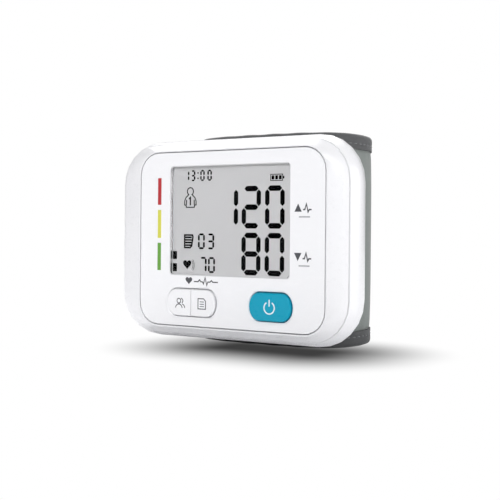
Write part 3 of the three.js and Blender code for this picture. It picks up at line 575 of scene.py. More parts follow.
SLOTS = {"white_plastic": "shell", "panel_plastic": "panel", "clear_window": "window",
         "display_glass": "film", "blue_plastic": "blue", "inner_plastic": "inner",
         "black_plastic": "black", "board": "board", "rubber": "rubber", "silicone": "silicone",
         "steel": "steel", "cell_jacket": "cell", "cuff_fabric": "cloth",
         "lining_fabric": "lining", "edge_tape": "tape", "hook_tape": "hooks"}


@dataclass
class Workshop:
    """Makes each finish once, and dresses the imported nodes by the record's slots."""

    made: dict[str, Material] = field(default_factory=dict)

    def get(self, finish: str) -> Material:
        """Makes a finish the first time that it is asked for, and gives its material.

        Args:
            finish: its key among the finishes.

        Returns:
            The material.
        """
        if finish not in self.made:
            self.made[finish] = FINISHES[finish].build()
        return self.made[finish]

    def dress_nodes(self) -> None:
        """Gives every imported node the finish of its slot."""
        for row in frame["record"]["subparts"]:
            node, finish = frame["nodes"][row["node"]], SLOTS[row["material_slot"]]
            node.data.materials.clear()
            node.data.materials.append(self.get(finish))
            log.info("%s: %s", row["node"], finish)


def new_object(name: str, data: ID) -> Object:
    """Adds an object to the scene.

    Args:
        name: its name.
        data: its mesh, camera or lamp.

    Returns:
        The object.
    """
    item = bpy.data.objects.new(name, data)
    bpy.context.scene.collection.objects.link(item)
    return item


class Draft:
    """Rings of points gathered into one closed mesh, in millimetres."""

    def __init__(self, rings: np.ndarray | None = None, cloth: np.ndarray | None = None) -> None:
        """Starts with one grid of rings, or with no points.

        Args:
            rings: a grid of points as for add, if there is one.
            cloth: millimetres along and across the cloth, for each of its points.
        """
        self.points: list[np.ndarray] = []
        self.cloth: list[np.ndarray] = []
        self.faces: list[list[int]] = []
        self.count = 0
        if rings is not None:
            self.add(rings, cloth=cloth)

    def add(self, rings: np.ndarray, looped: bool = False, cloth: np.ndarray | None = None) -> None:
        """Joins each ring of a grid to the next, round the ring and along the grid.

        Args:
            rings: points as an array of rings, places round a ring, and x, y, z.
            looped: whether the last ring joins the first. If not, both end rings are capped.
            cloth: millimetres along and across the cloth, for each point.
        """
        count, size = rings.shape[:2]
        row, column = np.meshgrid(np.arange(count if looped else count - 1), np.arange(size),
                                  indexing="ij")
        after, beside = (row + 1) % count, (column + 1) % size
        quads = np.stack([row * size + column, row * size + beside,
                          after * size + beside, after * size + column], axis=-1)
        self.faces += (quads.reshape(-1, 4) + self.count).tolist()
        if not looped:
            first = np.arange(size) + self.count
            self.faces += [first[::-1].tolist(), (first + (count - 1) * size).tolist()]
        self.points.append(rings.reshape(-1, 3))
        self.cloth.append(np.zeros((count * size, 2)) if cloth is None else cloth.reshape(-1, 2))
        self.count += count * size

    def build(self, name: str, material: Material, slot: str, body: Body,
              smooth: float = 35.0, blended: tuple | None = None) -> Object:
        """Makes the piece, with its faces outwards, its finish and its body.

        Args:
            name: the piece's name.
            material: its finish.
            slot: the record's slot that it takes its finish from.
            body: the body that it rides on, unless it is blended.
            smooth: the angle in degrees up to which neighbouring faces shade as one.
            blended: the start and end points of a blend from the monitor to the flap.

        Returns:
            The piece.
        """
        mesh = bpy.data.meshes.new(name)
        mesh.from_pydata((np.concatenate(self.points) * MM).tolist(), [], self.faces)
        attribute = mesh.attributes.new("cloth", "FLOAT_VECTOR", "POINT")
        flat = np.concatenate(self.cloth)
        attribute.data.foreach_set("vector", np.column_stack([flat, flat[:, 0] * 0]).ravel())
        shape = bmesh.new()
        shape.from_mesh(mesh)
        bmesh.ops.recalc_face_normals(shape, faces=shape.faces)
        shape.to_mesh(mesh)
        shape.free()
        mesh.shade_smooth()
        mesh.set_sharp_from_angle(angle=math.radians(smooth))
        mesh.materials.append(material)
        piece = new_object(name, mesh)
        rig.slot(piece, slot)
        if blended is None:
            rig.ride(piece, body.value)
        else:
            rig.blend(piece, Body.MONITOR.value, Body.FLAP.value, start=blended[0], end=blended[1])
        log.info("%s: %d points", name, self.count)
        return piece


def smoothstep(low: float, high: float, value: np.ndarray) -> np.ndarray:
    """Rises from 0 at low to 1 at high as 3t² - 2t³, and gives the rise at each value."""
    share = np.clip((value - low) / (high - low), 0, 1)
    return share * share * (3 - 2 * share)


@dataclass(frozen=True)
class CuffPath:
    """Plan line of the cuff: a rounded oblong, squarer at the front, seen from above.

    Angle 0 is at the wearer's right, 90 at the back and 270 at the monitor.
    """

    centre_y: float = 4.38
    half_width: float = 28.5
    front_reach: float = 17.3
    back_reach: float = 25.0
    front_power: float = 3.1
    back_power: float = 2.0
    start: float = 100.0
    end: float = 420.0

    def place(self, degrees: np.ndarray, offset: np.ndarray, height: np.ndarray) -> np.ndarray:
        """Finds points beside the line.

        The line is |x/a|^p + |y/b|^p = 1, walked as x = a cos^(2/p) and y = b sin^(2/p) with
        their signs kept, and a point is moved out along the gradient of that sum.

        Args:
            degrees: the angles.
            offset: how far out from the line.
            height: the points' z.

        Returns:
            The points, with x, y and z last.
        """
        degrees, offset, height = np.broadcast_arrays(degrees, offset, height)
        cosine, sine = np.cos(np.radians(degrees)), np.sin(np.radians(degrees))
        power = np.where(sine < 0, self.front_power, self.back_power)
        reach = np.where(sine < 0, self.front_reach, self.back_reach)
        across = np.sign(cosine) * np.abs(cosine) ** (2 / power)
        back = np.sign(sine) * np.abs(sine) ** (2 / power)
        slope_x = np.sign(across) * np.abs(across) ** (power - 1) / self.half_width
        slope_y = np.sign(back) * np.abs(back) ** (power - 1) / reach
        size = np.hypot(slope_x, slope_y)
        return np.stack([across * self.half_width + offset * slope_x / size,
                         self.centre_y + back * reach + offset * slope_y / size,
                         height], axis=-1)

    def lengths(self, offset: float = 0.0) -> tuple[np.ndarray, np.ndarray]:
        """Measures the line, as the sum of its short chords.

        Args:
            offset: how far out from the line the length is taken.

        Returns:
            Angles from 60 to 560 degrees, and the length walked at each, zero at the start.
        """
        degrees = np.arange(60, 560, 0.25)
        steps = np.linalg.norm(np.diff(self.place(degrees, offset, 0.0), axis=0), axis=1)
        walked = np.concatenate([[0], np.cumsum(steps)])
        return degrees, walked - np.interp(self.start, degrees, walked)

    def angle_at(self, walked: np.ndarray) -> np.ndarray:
        """Gives the angle at each length walked from the start."""
        degrees, lengths = self.lengths()
        return np.interp(walked, lengths, degrees)

    def length_at(self, angle: np.ndarray) -> np.ndarray:
        """Gives the length walked from the start at each angle."""
        degrees, lengths = self.lengths()
        return np.interp(angle, degrees, lengths)

    def ends(self) -> tuple[float, float]:
        """Gives the length walked at the loop's start and at its end."""
        return self.length_at(self.start), self.length_at(self.end)

    def sweep(self, walked: np.ndarray, offset: np.ndarray,
              height: np.ndarray) -> tuple[np.ndarray, np.ndarray]:
        """Carries a profile along the line.

        Args:
            walked: the length walked at each ring.
            offset: offsets of the profile's points, for each ring.
            height: heights of the profile's points, for each ring.

        Returns:
            The rings, and the millimetres along and across the cloth at each point.
        """
        rings = self.place(self.angle_at(walked)[:, None], offset, height)
        steps = np.hypot(np.diff(offset, axis=1), np.diff(height, axis=1))
        across = np.concatenate([np.zeros((len(walked), 1)), np.cumsum(steps, axis=1)], axis=1)
        along = np.broadcast_to(walked[:, None], across.shape)
        return rings, np.stack([along, across], axis=-1)


@dataclass(frozen=True)
class StitchRow:
    """A row of lock stitches: short lengths of thread whose ends dive into the cloth."""

    period: float = 2.7
    length: float = 2.0
    radius: float = 0.2
    dive: float = 0.3
    proud: float = 0.4
    taper: float = 0.96
    rings: int = 7
    sides: int = 6

    def add(self, draft: Draft, path: CuffPath, line: np.ndarray, face: np.ndarray,
            side: float = 1.0) -> None:
        """Lays stitches along a line drawn on the developed cloth.

        Each is a tube whose radius falls as the root of 1 - t⁴ and whose middle dives as t².

        Args:
            draft: the draft that takes them.
            path: the cuff's plan line.
            line: points as the length walked and the height.
            face: the cloth's offset at each of those points.
            side: 1 on the outer face of the cloth, -1 on its inner face.
        """
        reach = np.concatenate([[0], np.cumsum(np.linalg.norm(np.diff(line, axis=0), axis=1))])
        count = int((reach[-1] - self.length) // self.period) + 1
        spare = reach[-1] - (count - 1) * self.period - self.length
        middles = self.length / 2 + spare / 2 + self.period * np.arange(count)
        share = np.linspace(-1, 1, self.rings)
        at = middles[:, None] + share * self.length / 2
        walked, height = (np.interp(at, reach, line[:, axis]) for axis in (0, 1))
        way = np.stack([np.gradient(walked, axis=1), np.gradient(height, axis=1)])
        way = way / np.linalg.norm(way, axis=0)
        thick = self.radius * np.sqrt(1 - np.abs(share) ** 4 * self.taper)
        turn = np.arange(self.sides) * math.tau / self.sides
        lift = np.interp(at, reach, face) + side * (
            self.radius * self.proud - self.dive * share ** 2)
        out = lift[..., None] + thick[:, None] * np.cos(turn)
        slide = thick[:, None] * np.sin(turn)
        angle = path.angle_at(walked[..., None] - slide * way[1][..., None])
        points = path.place(angle, out, height[..., None] + slide * way[0][..., None])
        twist = np.stack(np.broadcast_arrays(at[..., None], turn * self.radius), axis=-1)
        for stitch, cloth in zip(points, twist):
            draft.add(stitch, cloth=cloth)


@dataclass
class CuffPart:
    """A sewn part of the cuff, which follows its plan line."""

    workshop: Workshop
    path: CuffPath


class Side(str, Enum):
    """The two edges of the cuff."""

    TOP = "top"
    BOTTOM = "bottom"


@dataclass
class CuffBinding(CuffPart):
    """Woven tape folded over one edge of the cuff, and sewn through with a row of stitches."""

    side: Side
    foot: float = 61.2
    height: float = 4.8
    depth: float = 7.1
    tape: float = 0.8
    channel: float = 4.0
    round_over: float = 1.3
    past_end: float = 2.1
    end_wall: float = 0.5
    end_run: float = 0.8
    channel_points: int = 6
    shut: float = 0.02
    groove_at: float = 1.7
    groove: float = 0.28
    groove_half: float = 0.45
    groove_bed: float = 0.7
    waviness: float = 0.12
    wave: float = 9.3
    slow_wave: float = 17.0
    step: float = 0.5

    def outline(self) -> tuple[np.ndarray, np.ndarray]:
        """Draws the folded tape's section.

        Returns:
            Offsets and rises of its outer face, then of the channel that holds the layers.
        """
        corner = np.radians(np.linspace(0, 90, 6))[1:]
        straight = self.height - self.round_over
        leg = np.array([0.0, 0.25, 0.8, 1.25, 1.7, 2.15, 2.7, straight])
        half_offset = np.concatenate([np.zeros(len(leg)), self.round_over * (np.cos(corner) - 1),
                                      [-0.36 * self.depth]])
        half_rise = np.concatenate([leg, straight + self.round_over * np.sin(corner),
                                    [self.height + 0.05]])
        inner = np.repeat([self.tape - self.depth, -self.tape], self.channel_points // 2)
        inner_rise = np.array([0, 0.5, 1, 1, 0.5, 0]) * self.channel
        return (np.concatenate([half_offset, -self.depth - half_offset[::-1], inner]),
                np.concatenate([half_rise, half_rise[::-1], inner_rise]))

    def build(self) -> Object:
        """Carries the section along the edge, dimpled by the stitches and closed at both ends.

        The channel closes past the layers' ends, and the section draws in at the tape's ends as
        a quarter circle does.

        Returns:
            The piece.
        """
        start, end = self.path.ends()
        low, high = start - self.past_end, end + self.past_end
        fine = np.array([0, 0.15, 0.4, 0.8])
        walked = np.concatenate([low + fine, np.arange(low + 1.2, high - 1.2, self.step),
                                 high - fine[::-1]])
        offset, rise = (np.tile(values, (len(walked), 1)) for values in self.outline())
        beyond = np.minimum(walked - low, high - walked)
        closed = beyond < self.past_end - self.end_wall
        channel, face = np.split(np.arange(offset.shape[1]), [-self.channel_points])[::-1]
        rise[:, channel] = np.where(closed[:, None], self.shut, rise[:, channel])
        near = np.exp(-((rise[:, face] - self.groove_at) / self.groove_half) ** 2)
        dimple = 0.75 + 0.25 * np.cos(math.tau * walked / StitchRow.period)[:, None]
        leg = np.where(rise[:, face] < self.height - self.round_over + 0.01, 1.0, 0.0)
        outer = np.where(offset[:, face] > -self.depth / 2, 1.0, -1.0)
        swell = (self.waviness * np.sin(math.tau * walked / self.wave)[:, None]
                 * np.sin(walked / self.slow_wave)[:, None])
        offset[:, face] -= outer * leg * near * self.groove * dimple
        rise[:, face] += self.waviness * (swell - self.waviness) * rise[:, face]
        draw = np.sqrt(1 - (1 - np.clip(beyond / self.end_run, 0, 1)) ** 2)[:, None]
        middle, half = -self.depth / 2, self.height / 2
        offset = middle + (offset - middle) * (0.8 + 0.2 * draw)
        rise = self.foot + half + (rise - half) * (0.85 + 0.15 * draw)
        piece = Draft(*self.path.sweep(walked, offset, self.height_of(rise))).build(
            f"cuff_{self.side.value}_edge_tape", self.workshop.get("tape"), "edge_tape",
            Body.MONITOR, smooth=50)
        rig.replaces(piece, f"cuff_{self.side.value}_binding")
        return piece

    def height_of(self, rise: np.ndarray | float) -> np.ndarray | float:
        """Gives the height of a rise of the top tape, or of its mirror image on the bottom."""
        return rise if self.side is Side.TOP else CUFF_HEIGHT - rise

    def stitches(self) -> Object:
        """Sews a row along the tape, on both of its faces.

        Returns:
            The row of stitches.
        """
        walked = np.arange(*self.path.ends(), 1.0)
        level = self.height_of(self.foot + self.groove_at)
        line = np.column_stack([walked, np.full_like(walked, level)])
        face = np.full(len(line), -self.groove * self.groove_bed)
        draft = Draft()
        StitchRow().add(draft, self.path, line, face)
        StitchRow().add(draft, self.path, line, -self.depth - face, side=-1)
        return draft.build(f"cuff_{self.side.value}_stitches", self.workshop.get("thread"),
                           "edge_tape", Body.MONITOR)


@dataclass
class CuffLayer(CuffPart):
    """One of the two layers of cloth that are held between the edge tapes."""

    low: float = 1.1
    high: float = 64.9
    tape_height: float = 4.8
    step: float = 0.7
    rows: int = 64

    def grid(self) -> tuple[np.ndarray, np.ndarray, np.ndarray]:
        """Spreads places over the layer.

        Returns:
            The lengths walked, the heights, and each height's share of the way between the tapes.
        """
        first, last = self.path.ends()
        height = np.linspace(self.low, self.high, self.rows)
        share = np.clip((height - self.tape_height) / (CUFF_HEIGHT - 2 * self.tape_height), 0, 1)
        return np.linspace(first, last, int((last - first) / self.step)), height, share

    def close(self, walked: np.ndarray, height: np.ndarray, shaped: np.ndarray,
              flat: float) -> Draft:
        """Closes the layer between its shaped face and a flat one.

        Args:
            walked: the lengths walked.
            height: the heights.
            shaped: the shaped face's offset at each of them.
            flat: the flat face's offset.

        Returns:
            The layer's draft.
        """
        offset = np.concatenate([shaped, np.full_like(shaped, flat)], axis=1)
        level = np.tile(np.concatenate([height, height[::-1]]), (len(walked), 1))
        return Draft(*self.path.sweep(walked, offset, level))


@dataclass
class CuffCover(CuffLayer):
    """Outer cloth of the cuff, stretched over the curl plate between the two edge tapes."""

    face: float = -1.1
    thickness: float = 0.8
    swell: float = 1.05
    swell_under_flap: float = 0.12
    flap_covers: tuple[float, float] = (156.0, 172.0)
    end_run: float = 9.0
    crown_power: float = 0.12
    pucker: float = 0.12
    pucker_fade: float = 3.5
    pucker_run: float = 5.3
    pucker_drift: tuple[float, float] = (1.4, 11.0)
    wrinkle: float = 0.06
    wrinkle_run: float = 6.1
    wrinkle_lean: float = 0.05
    wrinkle_rise: float = 13.0

    def build(self) -> Object:
        """Swells the cloth as a root of the sine of the height, and puckers it by the tapes.

        Returns:
            The piece.
        """
        walked, height, share = self.grid()
        crown = np.sin(math.pi * share) ** self.crown_power
        free = (smoothstep(*self.flap_covers, self.path.angle_at(walked))
                * smoothstep(0, self.end_run, walked[-1] - walked))[:, None]
        lift = self.swell_under_flap + (self.swell - self.swell_under_flap) * free
        edge = np.exp(-np.minimum(height - self.tape_height,
                                  CUFF_HEIGHT - self.tape_height - height) / self.pucker_fade)
        drift, run = self.pucker_drift
        wave = np.sin(math.tau * walked / self.pucker_run + drift * np.sin(walked / run))[:, None]
        wrinkle = (np.sin(walked / self.wrinkle_run + self.wrinkle_lean * height[:, None]).T
                   * np.sin(height / self.wrinkle_rise + 0.4))
        outer = (self.face + lift * crown
                 - self.pucker * free * np.where(share > 0, edge, 0) * (1 + wave)
                 + self.wrinkle * free * wrinkle * crown)
        piece = self.close(walked, height, outer, self.face - self.thickness).build(
            "cuff_outer_cloth", self.workshop.get("cloth"), "cuff_fabric", Body.MONITOR)
        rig.replaces(piece, "cuff_outer_cover")
        return piece

    def flat_size(self) -> tuple[float, float]:
        """Measures the cloth as it was cut.

        Returns:
            Its width and length in metres.
        """
        degrees, lengths = self.path.lengths(self.face)
        first, last = np.interp((self.path.start, self.path.end), degrees, lengths)
        return (self.high - self.low) * MM, float(last - first) * MM


@dataclass
class CuffLining(CuffLayer):
    """Soft lining over the air bladder, on the wrist side, crowned as a thin pad."""

    back: float = -5.2
    face: float = -6.0
    crown: float = 1.5
    crown_power: float = 0.55
    crease: float = 0.35
    crease_run: float = 13.5
    drift_up: tuple[float, float] = (0.9, 19.0)
    drift_along: tuple[float, float] = (0.6, 23.0)
    bladder_from: tuple[float, float] = (108.0, 130.0)
    bladder_to: tuple[float, float] = (404.0, 420.0)
    empty: float = 0.25
    step: float = 0.8
    rows: int = 56

    def build(self) -> None:
        """Crowns the pad towards the wrist, with upright creases where the loop bends it.

        The crown is a power of the sine of the height. Creases are narrow valleys, the sixth
        power of a sine of the length walked, and their places drift by a slower sine.
        """
        walked, height, share = self.grid()
        angle = self.path.angle_at(walked)
        held = (smoothstep(*self.bladder_from, angle)
                * (1 - smoothstep(*self.bladder_to, angle)))[:, None]
        rise = (np.sin(math.pi * share) ** self.crown_power
                * (self.empty + (1 - self.empty) * held))
        drift = (self.drift_up[0] * np.sin(height / self.drift_up[1])
                 + self.drift_along[0] * np.sin(walked / self.drift_along[1])[:, None])
        valley = np.abs(np.sin(math.pi * walked[:, None] / self.crease_run + drift)) ** 6
        reach = np.sin(math.pi * share) ** 1.5
        inner = self.face - self.crown * rise + self.crease * valley * reach * held
        piece = self.close(walked, height, inner, self.back).build(
            "cuff_padded_lining", self.workshop.get("lining"), "lining_fabric", Body.MONITOR)
        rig.replaces(piece, "cuff_inner_cover")
        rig.padded(piece, fill=0.35)


@dataclass
class CuffEndRoll(CuffPart):
    """Lining cloth turned over one end of the loop, closing its layers in a soft roll."""

    at_end: bool
    low: float = 1.3
    high: float = 64.7
    outer: float = -1.0
    inner: float = -6.1
    bulge: float = 1.5
    gap: float = 0.05
    ripple: float = 4.3
    sides: int = 18
    step: float = 1.6

    def build(self) -> Object:
        """Draws half an ellipse past the loop's end, and carries it up the cuff.

        Returns:
            The piece.
        """
        height = np.arange(self.low, self.high + self.step / 2, self.step)[:, None]
        turn = np.linspace(-math.pi / 2, math.pi / 2, self.sides)
        middle, half = (self.outer + self.inner) / 2, (self.outer - self.inner) / 2
        past = self.gap + self.bulge * np.cos(turn) * (1 + 0.08 * np.sin(height / self.ripple))
        edge = self.path.ends()[self.at_end]
        angle = self.path.angle_at(edge + past if self.at_end else edge - past)
        cloth = np.stack(np.broadcast_arrays(height, turn * half), axis=-1)
        name = "cuff_flap_end_roll" if self.at_end else "cuff_plain_end_roll"
        return Draft(self.path.place(angle, middle + half * np.sin(turn), height), cloth).build(
            name, self.workshop.get("lining"), "lining_fabric", Body.MONITOR)


@dataclass
class CuffFlap(CuffPart):
    """Free end of the cuff: a double cloth tab with a sewn edge and a hook tape patch."""

    root: float = 418.8
    tip: float = 512.0
    rise_from: float = 420.0
    rise_to: float = 452.0
    rise: float = 2.3
    thickness: float = 2.0
    half_high: float = 25.0
    corner: float = 9.0
    puff: float = 0.22
    seam: float = 2.6
    groove: float = 0.16
    step: float = 0.6
    patch: tuple[float, float] = (466.0, 506.0)
    patch_low: float = 13.0
    patch_high: float = 53.0
    patch_top: float = 0.28
    patch_base: float = 0.5
    patch_edge: float = 0.2
    hook_pitch: float = 1.5
    hook_radius: float = 0.13
    bend: tuple = ((0.0148, 0.02576, 0.033), (0.01096, 0.0277, 0.033))

    def face(self, walked: np.ndarray) -> np.ndarray:
        """Gives the outer face's offset, which rises to lap over the loop."""
        return self.rise * smoothstep(self.rise_from, self.rise_to, self.path.angle_at(walked))

    def build(self) -> None:
        """Makes the tab as a rounded slab, puffed a little inside its seam.

        The slab's half thickness ends as a quarter circle at the tip and the long edges, and its
        height is drawn in by the round corners of the tip.
        """
        first, last = (self.path.length_at(angle) for angle in (self.root, self.tip))
        walked = np.concatenate([np.arange(first, last - 1.2, self.step),
                                 last - np.array([1.0, 0.8, 0.55, 0.3, 0.12, 0.02])])
        from_tip, from_root = (last - walked)[:, None], (walked - first)[:, None]
        into = np.clip(self.corner - from_tip, 0, self.corner)
        half = self.half_high - self.corner + np.sqrt(self.corner ** 2 - into ** 2)
        thick = (self.thickness / 2 * np.sqrt(1 - (1 - np.clip(from_tip, 0, 1)) ** 2)
                 * (0.35 + 0.65 * smoothstep(0, 1.2, from_root)))
        across = np.linspace(-1, 1, 40)
        turn = np.linspace(-math.pi / 2, math.pi / 2, 7)[1:-1]
        middle = self.face(walked)[:, None] - self.thickness / 2
        from_edge = half * (1 - np.abs(across))
        inside = np.clip(np.minimum(from_edge, from_tip) - self.seam, 0, None)
        puff = self.puff * (1 - np.exp(-inside / 3)) * smoothstep(4, 10, from_root)
        outer = (middle + thick + puff
                 - self.groove * np.exp(-((from_edge - self.seam) / 0.5) ** 2))
        offset = np.concatenate([outer, middle + thick * -np.sin(turn),
                                 np.broadcast_to(middle - thick, outer.shape),
                                 middle + thick * np.sin(turn)], axis=1)
        flat, bowed = (half - thick) * across, half - thick + thick * np.cos(turn)
        height = MIDDLE_Z + np.concatenate([flat, bowed, -flat, -bowed], axis=1)
        tab = Draft(*self.path.sweep(walked, offset, height)).build(
            "cuff_flap_cloth", self.workshop.get("cloth"), "cuff_fabric", Body.FLAP,
            blended=self.bend)
        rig.replaces(tab, "cuff_flap")
        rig.sheet(tab, flat=(2 * self.half_high * MM, float(last - first) * MM), held="stretched",
                 rests_on=["cuff_outer_cloth"],
                 with_pieces=[self.stitches(first, last), *self.hook_tape()])

    def stitches(self, first: float, last: float) -> Object:
        """Sews a row round the tab, inside its edge.

        Args:
            first: the length walked at the root.
            last: the length walked at the tip.

        Returns:
            The row of stitches.
        """
        turn = np.radians(np.linspace(0, 90, 12))
        radius = self.corner - self.seam
        straight = np.arange(first + 1.5, last - self.corner, 1.0)
        walked = np.concatenate([straight, last - self.corner + radius * np.sin(turn)])
        half = np.concatenate([np.full(len(straight), self.half_high - self.seam),
                               self.half_high - self.corner + radius * np.cos(turn)])
        line = np.concatenate([np.column_stack([walked, MIDDLE_Z + half]),
                               np.column_stack([walked, MIDDLE_Z - half])[::-1]])
        draft = Draft()
        StitchRow().add(draft, self.path, line, self.face(line[:, 0]) - 0.1)
        return draft.build("flap_stitches", self.workshop.get("thread"), "cuff_fabric", Body.FLAP,
                           blended=self.bend)

    def hook_tape(self) -> list[Object]:
        """Makes the patch on the inner face: a woven base with rows of bent hooks.

        Returns:
            The base and the hooks.
        """
        path, top, high = self.path, self.patch_top, self.patch_high - self.patch_low
        edge, base_at = top - self.patch_edge, top - self.patch_base
        first, last = (path.length_at(angle) for angle in self.patch)
        walked = np.linspace(first, last, 26)
        section = np.array([[top, 0.0], [edge, -0.15], [base_at, 0.1],
                            [base_at, high - 0.1], [edge, high + 0.15], [top, high]])
        offset, height = (np.tile(values, (len(walked), 1))
                          for values in (section[:, 0], self.patch_low + section[:, 1]))
        base = Draft(*path.sweep(walked, offset, height)).build(
            "hook_tape_base", self.workshop.get("hooks"), "hook_tape", Body.FLAP)
        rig.replaces(base, "hook_patch")
        deep = self.patch_base + 0.02
        bow = np.array([[0.0, 0.0], [0.0, 0.16], [0.08, 0.27], [0.22, 0.32], [0.34, 0.26]])
        turn = np.arange(4) * math.tau / 4
        radius = self.hook_radius * np.linspace(1.0, 0.6, len(bow))[:, None]
        at = np.arange(first + 0.9, last - 0.8, self.hook_pitch)[:, None, None, None]
        level = np.arange(self.patch_low + 1.2, self.patch_high - 1,
                          self.hook_pitch)[:, None, None]
        angle = path.angle_at(at + bow[:, :1] + radius * np.cos(turn) * 0.8)
        hooks = Draft()
        for row in path.place(angle, top - deep + 0.1 - bow[:, 1:], level + radius * np.sin(turn)):
            for hook in row:
                hooks.add(hook)
        return [base, hooks.build("hook_tape_hooks", self.workshop.get("black"), "hook_tape",
                                  Body.FLAP)]


@dataclass(frozen=True)
class SmoothShell:
    """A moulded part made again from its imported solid, with softened edges and smooth curves."""

    node: str
    name: str
    slot: str
    body: Body
    edge: float
    parting: float | None = None
    ease: float = 0.06
    touch: float = 0.01
    flat_to: float = 0.6
    limit: float = 28.0

    def part(self, mesh: Mesh) -> None:
        """Draws the face on the parting plane back from the neighbour that it touches.

        Args:
            mesh: the part's mesh.
        """
        points = np.empty(len(mesh.vertices) * 3, dtype=np.float32)
        mesh.vertices.foreach_get("co", points)
        points = points.reshape(-1, 3)
        away = points[:, 0] - self.parting * MM
        points[:, 0] += np.where(np.abs(away) < self.touch * MM,
                                 math.copysign(self.ease * MM, away.mean()), 0.0)
        mesh.vertices.foreach_set("co", points.ravel())

    def build(self, material: Material) -> None:
        """Joins the solid's loose triangles into faces and rounds the edges sharper than a limit.

        Args:
            material: the finish.
        """
        shape = bmesh.new()
        shape.from_mesh(frame["nodes"][self.node].data)
        bmesh.ops.remove_doubles(shape, verts=shape.verts, dist=1e-6)
        bmesh.ops.dissolve_limit(shape, angle_limit=math.radians(self.flat_to),
                                 verts=shape.verts, edges=shape.edges)
        mesh = bpy.data.meshes.new(self.name)
        shape.to_mesh(mesh)
        shape.free()
        if self.parting is not None:
            self.part(mesh)
        mesh.materials.append(material)
        mesh.shade_smooth()
        piece = new_object(self.name, mesh)
        bevel = piece.modifiers.new("softened_edges", "BEVEL")
        bevel.width, bevel.segments = self.edge * MM, 2
        bevel.limit_method, bevel.angle_limit = "ANGLE", math.radians(self.limit)
        bevel.use_clamp_overlap = True
        piece.modifiers.new("even_shading", "WEIGHTED_NORMAL").mode = "FACE_AREA"
        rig.ride(piece, self.body.value)
        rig.replaces(piece, self.node)
        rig.slot(piece, self.slot)
        log.info("%s: %d faces", self.name, len(mesh.polygons))


def front_of(node: str) -> float:
    """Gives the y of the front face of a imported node, in millimetres."""
    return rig.box(node)[0].y / MM


class Marks:
    """Flat marks on a face that looks to the front: filled outlines and drawn lines.

    Places are measured from the middle of the display panel, x to the right and z up.
    """

    middle = np.array([1.31, MIDDLE_Z])

    def __init__(self, face: float, thickness: float = 0.05, aside: float = 0.0) -> None:
        """Starts marks that stand on a face.

        Args:
            face: the face's y.
            thickness: how far the marks stand out of it.
            aside: how far to the right they are moved.
        """
        self.draft = Draft()
        self.face, self.aside = face, aside
        self.front = face - thickness

    def lift(self, outline: np.ndarray, depth: float) -> np.ndarray:
        """Places an outline at a depth in the object's frame."""
        placed = outline + self.middle + (self.aside, 0)
        return np.column_stack([placed[:, 0], np.full(len(placed), depth), placed[:, 1]])

    def fill(self, outline: np.ndarray) -> None:
        """Adds a filled outline as a thin plate."""
        self.draft.add(np.stack([self.lift(outline, self.front), self.lift(outline, self.face)]))

    def bar(self, low_x: float, low_z: float, high_x: float, high_z: float,
            corner: float = 0.15) -> None:
        """Adds an upright oblong with round corners.

        Args:
            low_x: its left side.
            low_z: its foot.
            high_x: its right side.
            high_z: its top.
            corner: its corners' radius.
        """
        turn = np.radians(np.arange(0, 91, 22.5))
        centres = np.array([(high_x, high_z), (low_x, high_z), (low_x, low_z), (high_x, low_z)])
        inwards = corner * np.array([(-1, -1), (1, -1), (1, 1), (-1, 1)])
        turns = turn + math.pi / 2 * np.arange(4)[:, None]
        rounds = corner * np.stack([np.cos(turns), np.sin(turns)], axis=-1)
        self.fill((rounds + (centres + inwards)[:, None]).reshape(-1, 2))

    def line(self, points: np.ndarray, width: float, closed: bool = False) -> None:
        """Draws a line as a thin strip with mitred corners.

        Args:
            points: the line's corners.
            width: its width.
            closed: whether it comes back to its first point.
        """
        points = np.asarray(points, dtype=float)
        if closed:
            before, after = np.roll(points, 1, axis=0), np.roll(points, -1, axis=0)
        else:
            before = np.concatenate([2 * points[:1] - points[1:2], points[:-1]])
            after = np.concatenate([points[1:], 2 * points[-1:] - points[-2:-1]])
        way_in, way_out = points - before, after - points
        way_in /= np.linalg.norm(way_in, axis=1, keepdims=True)
        way_out /= np.linalg.norm(way_out, axis=1, keepdims=True)
        mitre = way_in + way_out
        mitre /= np.linalg.norm(mitre, axis=1, keepdims=True)
        across = np.column_stack([-mitre[:, 1], mitre[:, 0]])
        square = np.column_stack([-way_in[:, 1], way_in[:, 0]])
        lean = np.clip((across * square).sum(axis=1), 0.4, 1)
        side = across * (width / 2 / lean)[:, None]
        self.draft.add(np.stack([
            self.lift(points + side, self.front), self.lift(points - side, self.front),
            self.lift(points - side, self.face), self.lift(points + side, self.face)], axis=1),
            looped=closed)

    def arc(self, centre: tuple[float, float], radius: float, start: float, end: float,
            width: float) -> None:
        """Draws an arc of a circle.

        Args:
            centre: its middle.
            radius: its radius.
            start: its first angle in degrees, 0 to the right and 90 up.
            end: its last angle.
            width: the line's width.
        """
        closed = end - start >= 360
        turn = np.radians(np.linspace(start, end, 25))[:-1 if closed else None]
        self.line(centre + radius * np.column_stack([np.cos(turn), np.sin(turn)]), width, closed)

    def heart(self, centre: tuple[float, float], width: float) -> None:
        """Fills a heart: x = 16 sin³ t, z = 13 cos t - 5 cos 2t - 2 cos 3t - cos 4t, scaled.

        Args:
            centre: its middle x and z.
            width: its width.
        """
        turn = np.linspace(0, math.tau, 41)[:-1]
        across = 16 * np.sin(turn) ** 3
        up = 13 * np.cos(turn) - 5 * np.cos(2 * turn) - 2 * np.cos(3 * turn) - np.cos(4 * turn)
        self.fill(np.column_stack([across, up + 2.5])[::-1] * width / 32 + centre)

    def build(self, name: str, material: Material, slot: str, body: Body) -> None:
        """Makes the gathered marks one piece."""
        self.draft.build(name, material, slot, body, smooth=20)


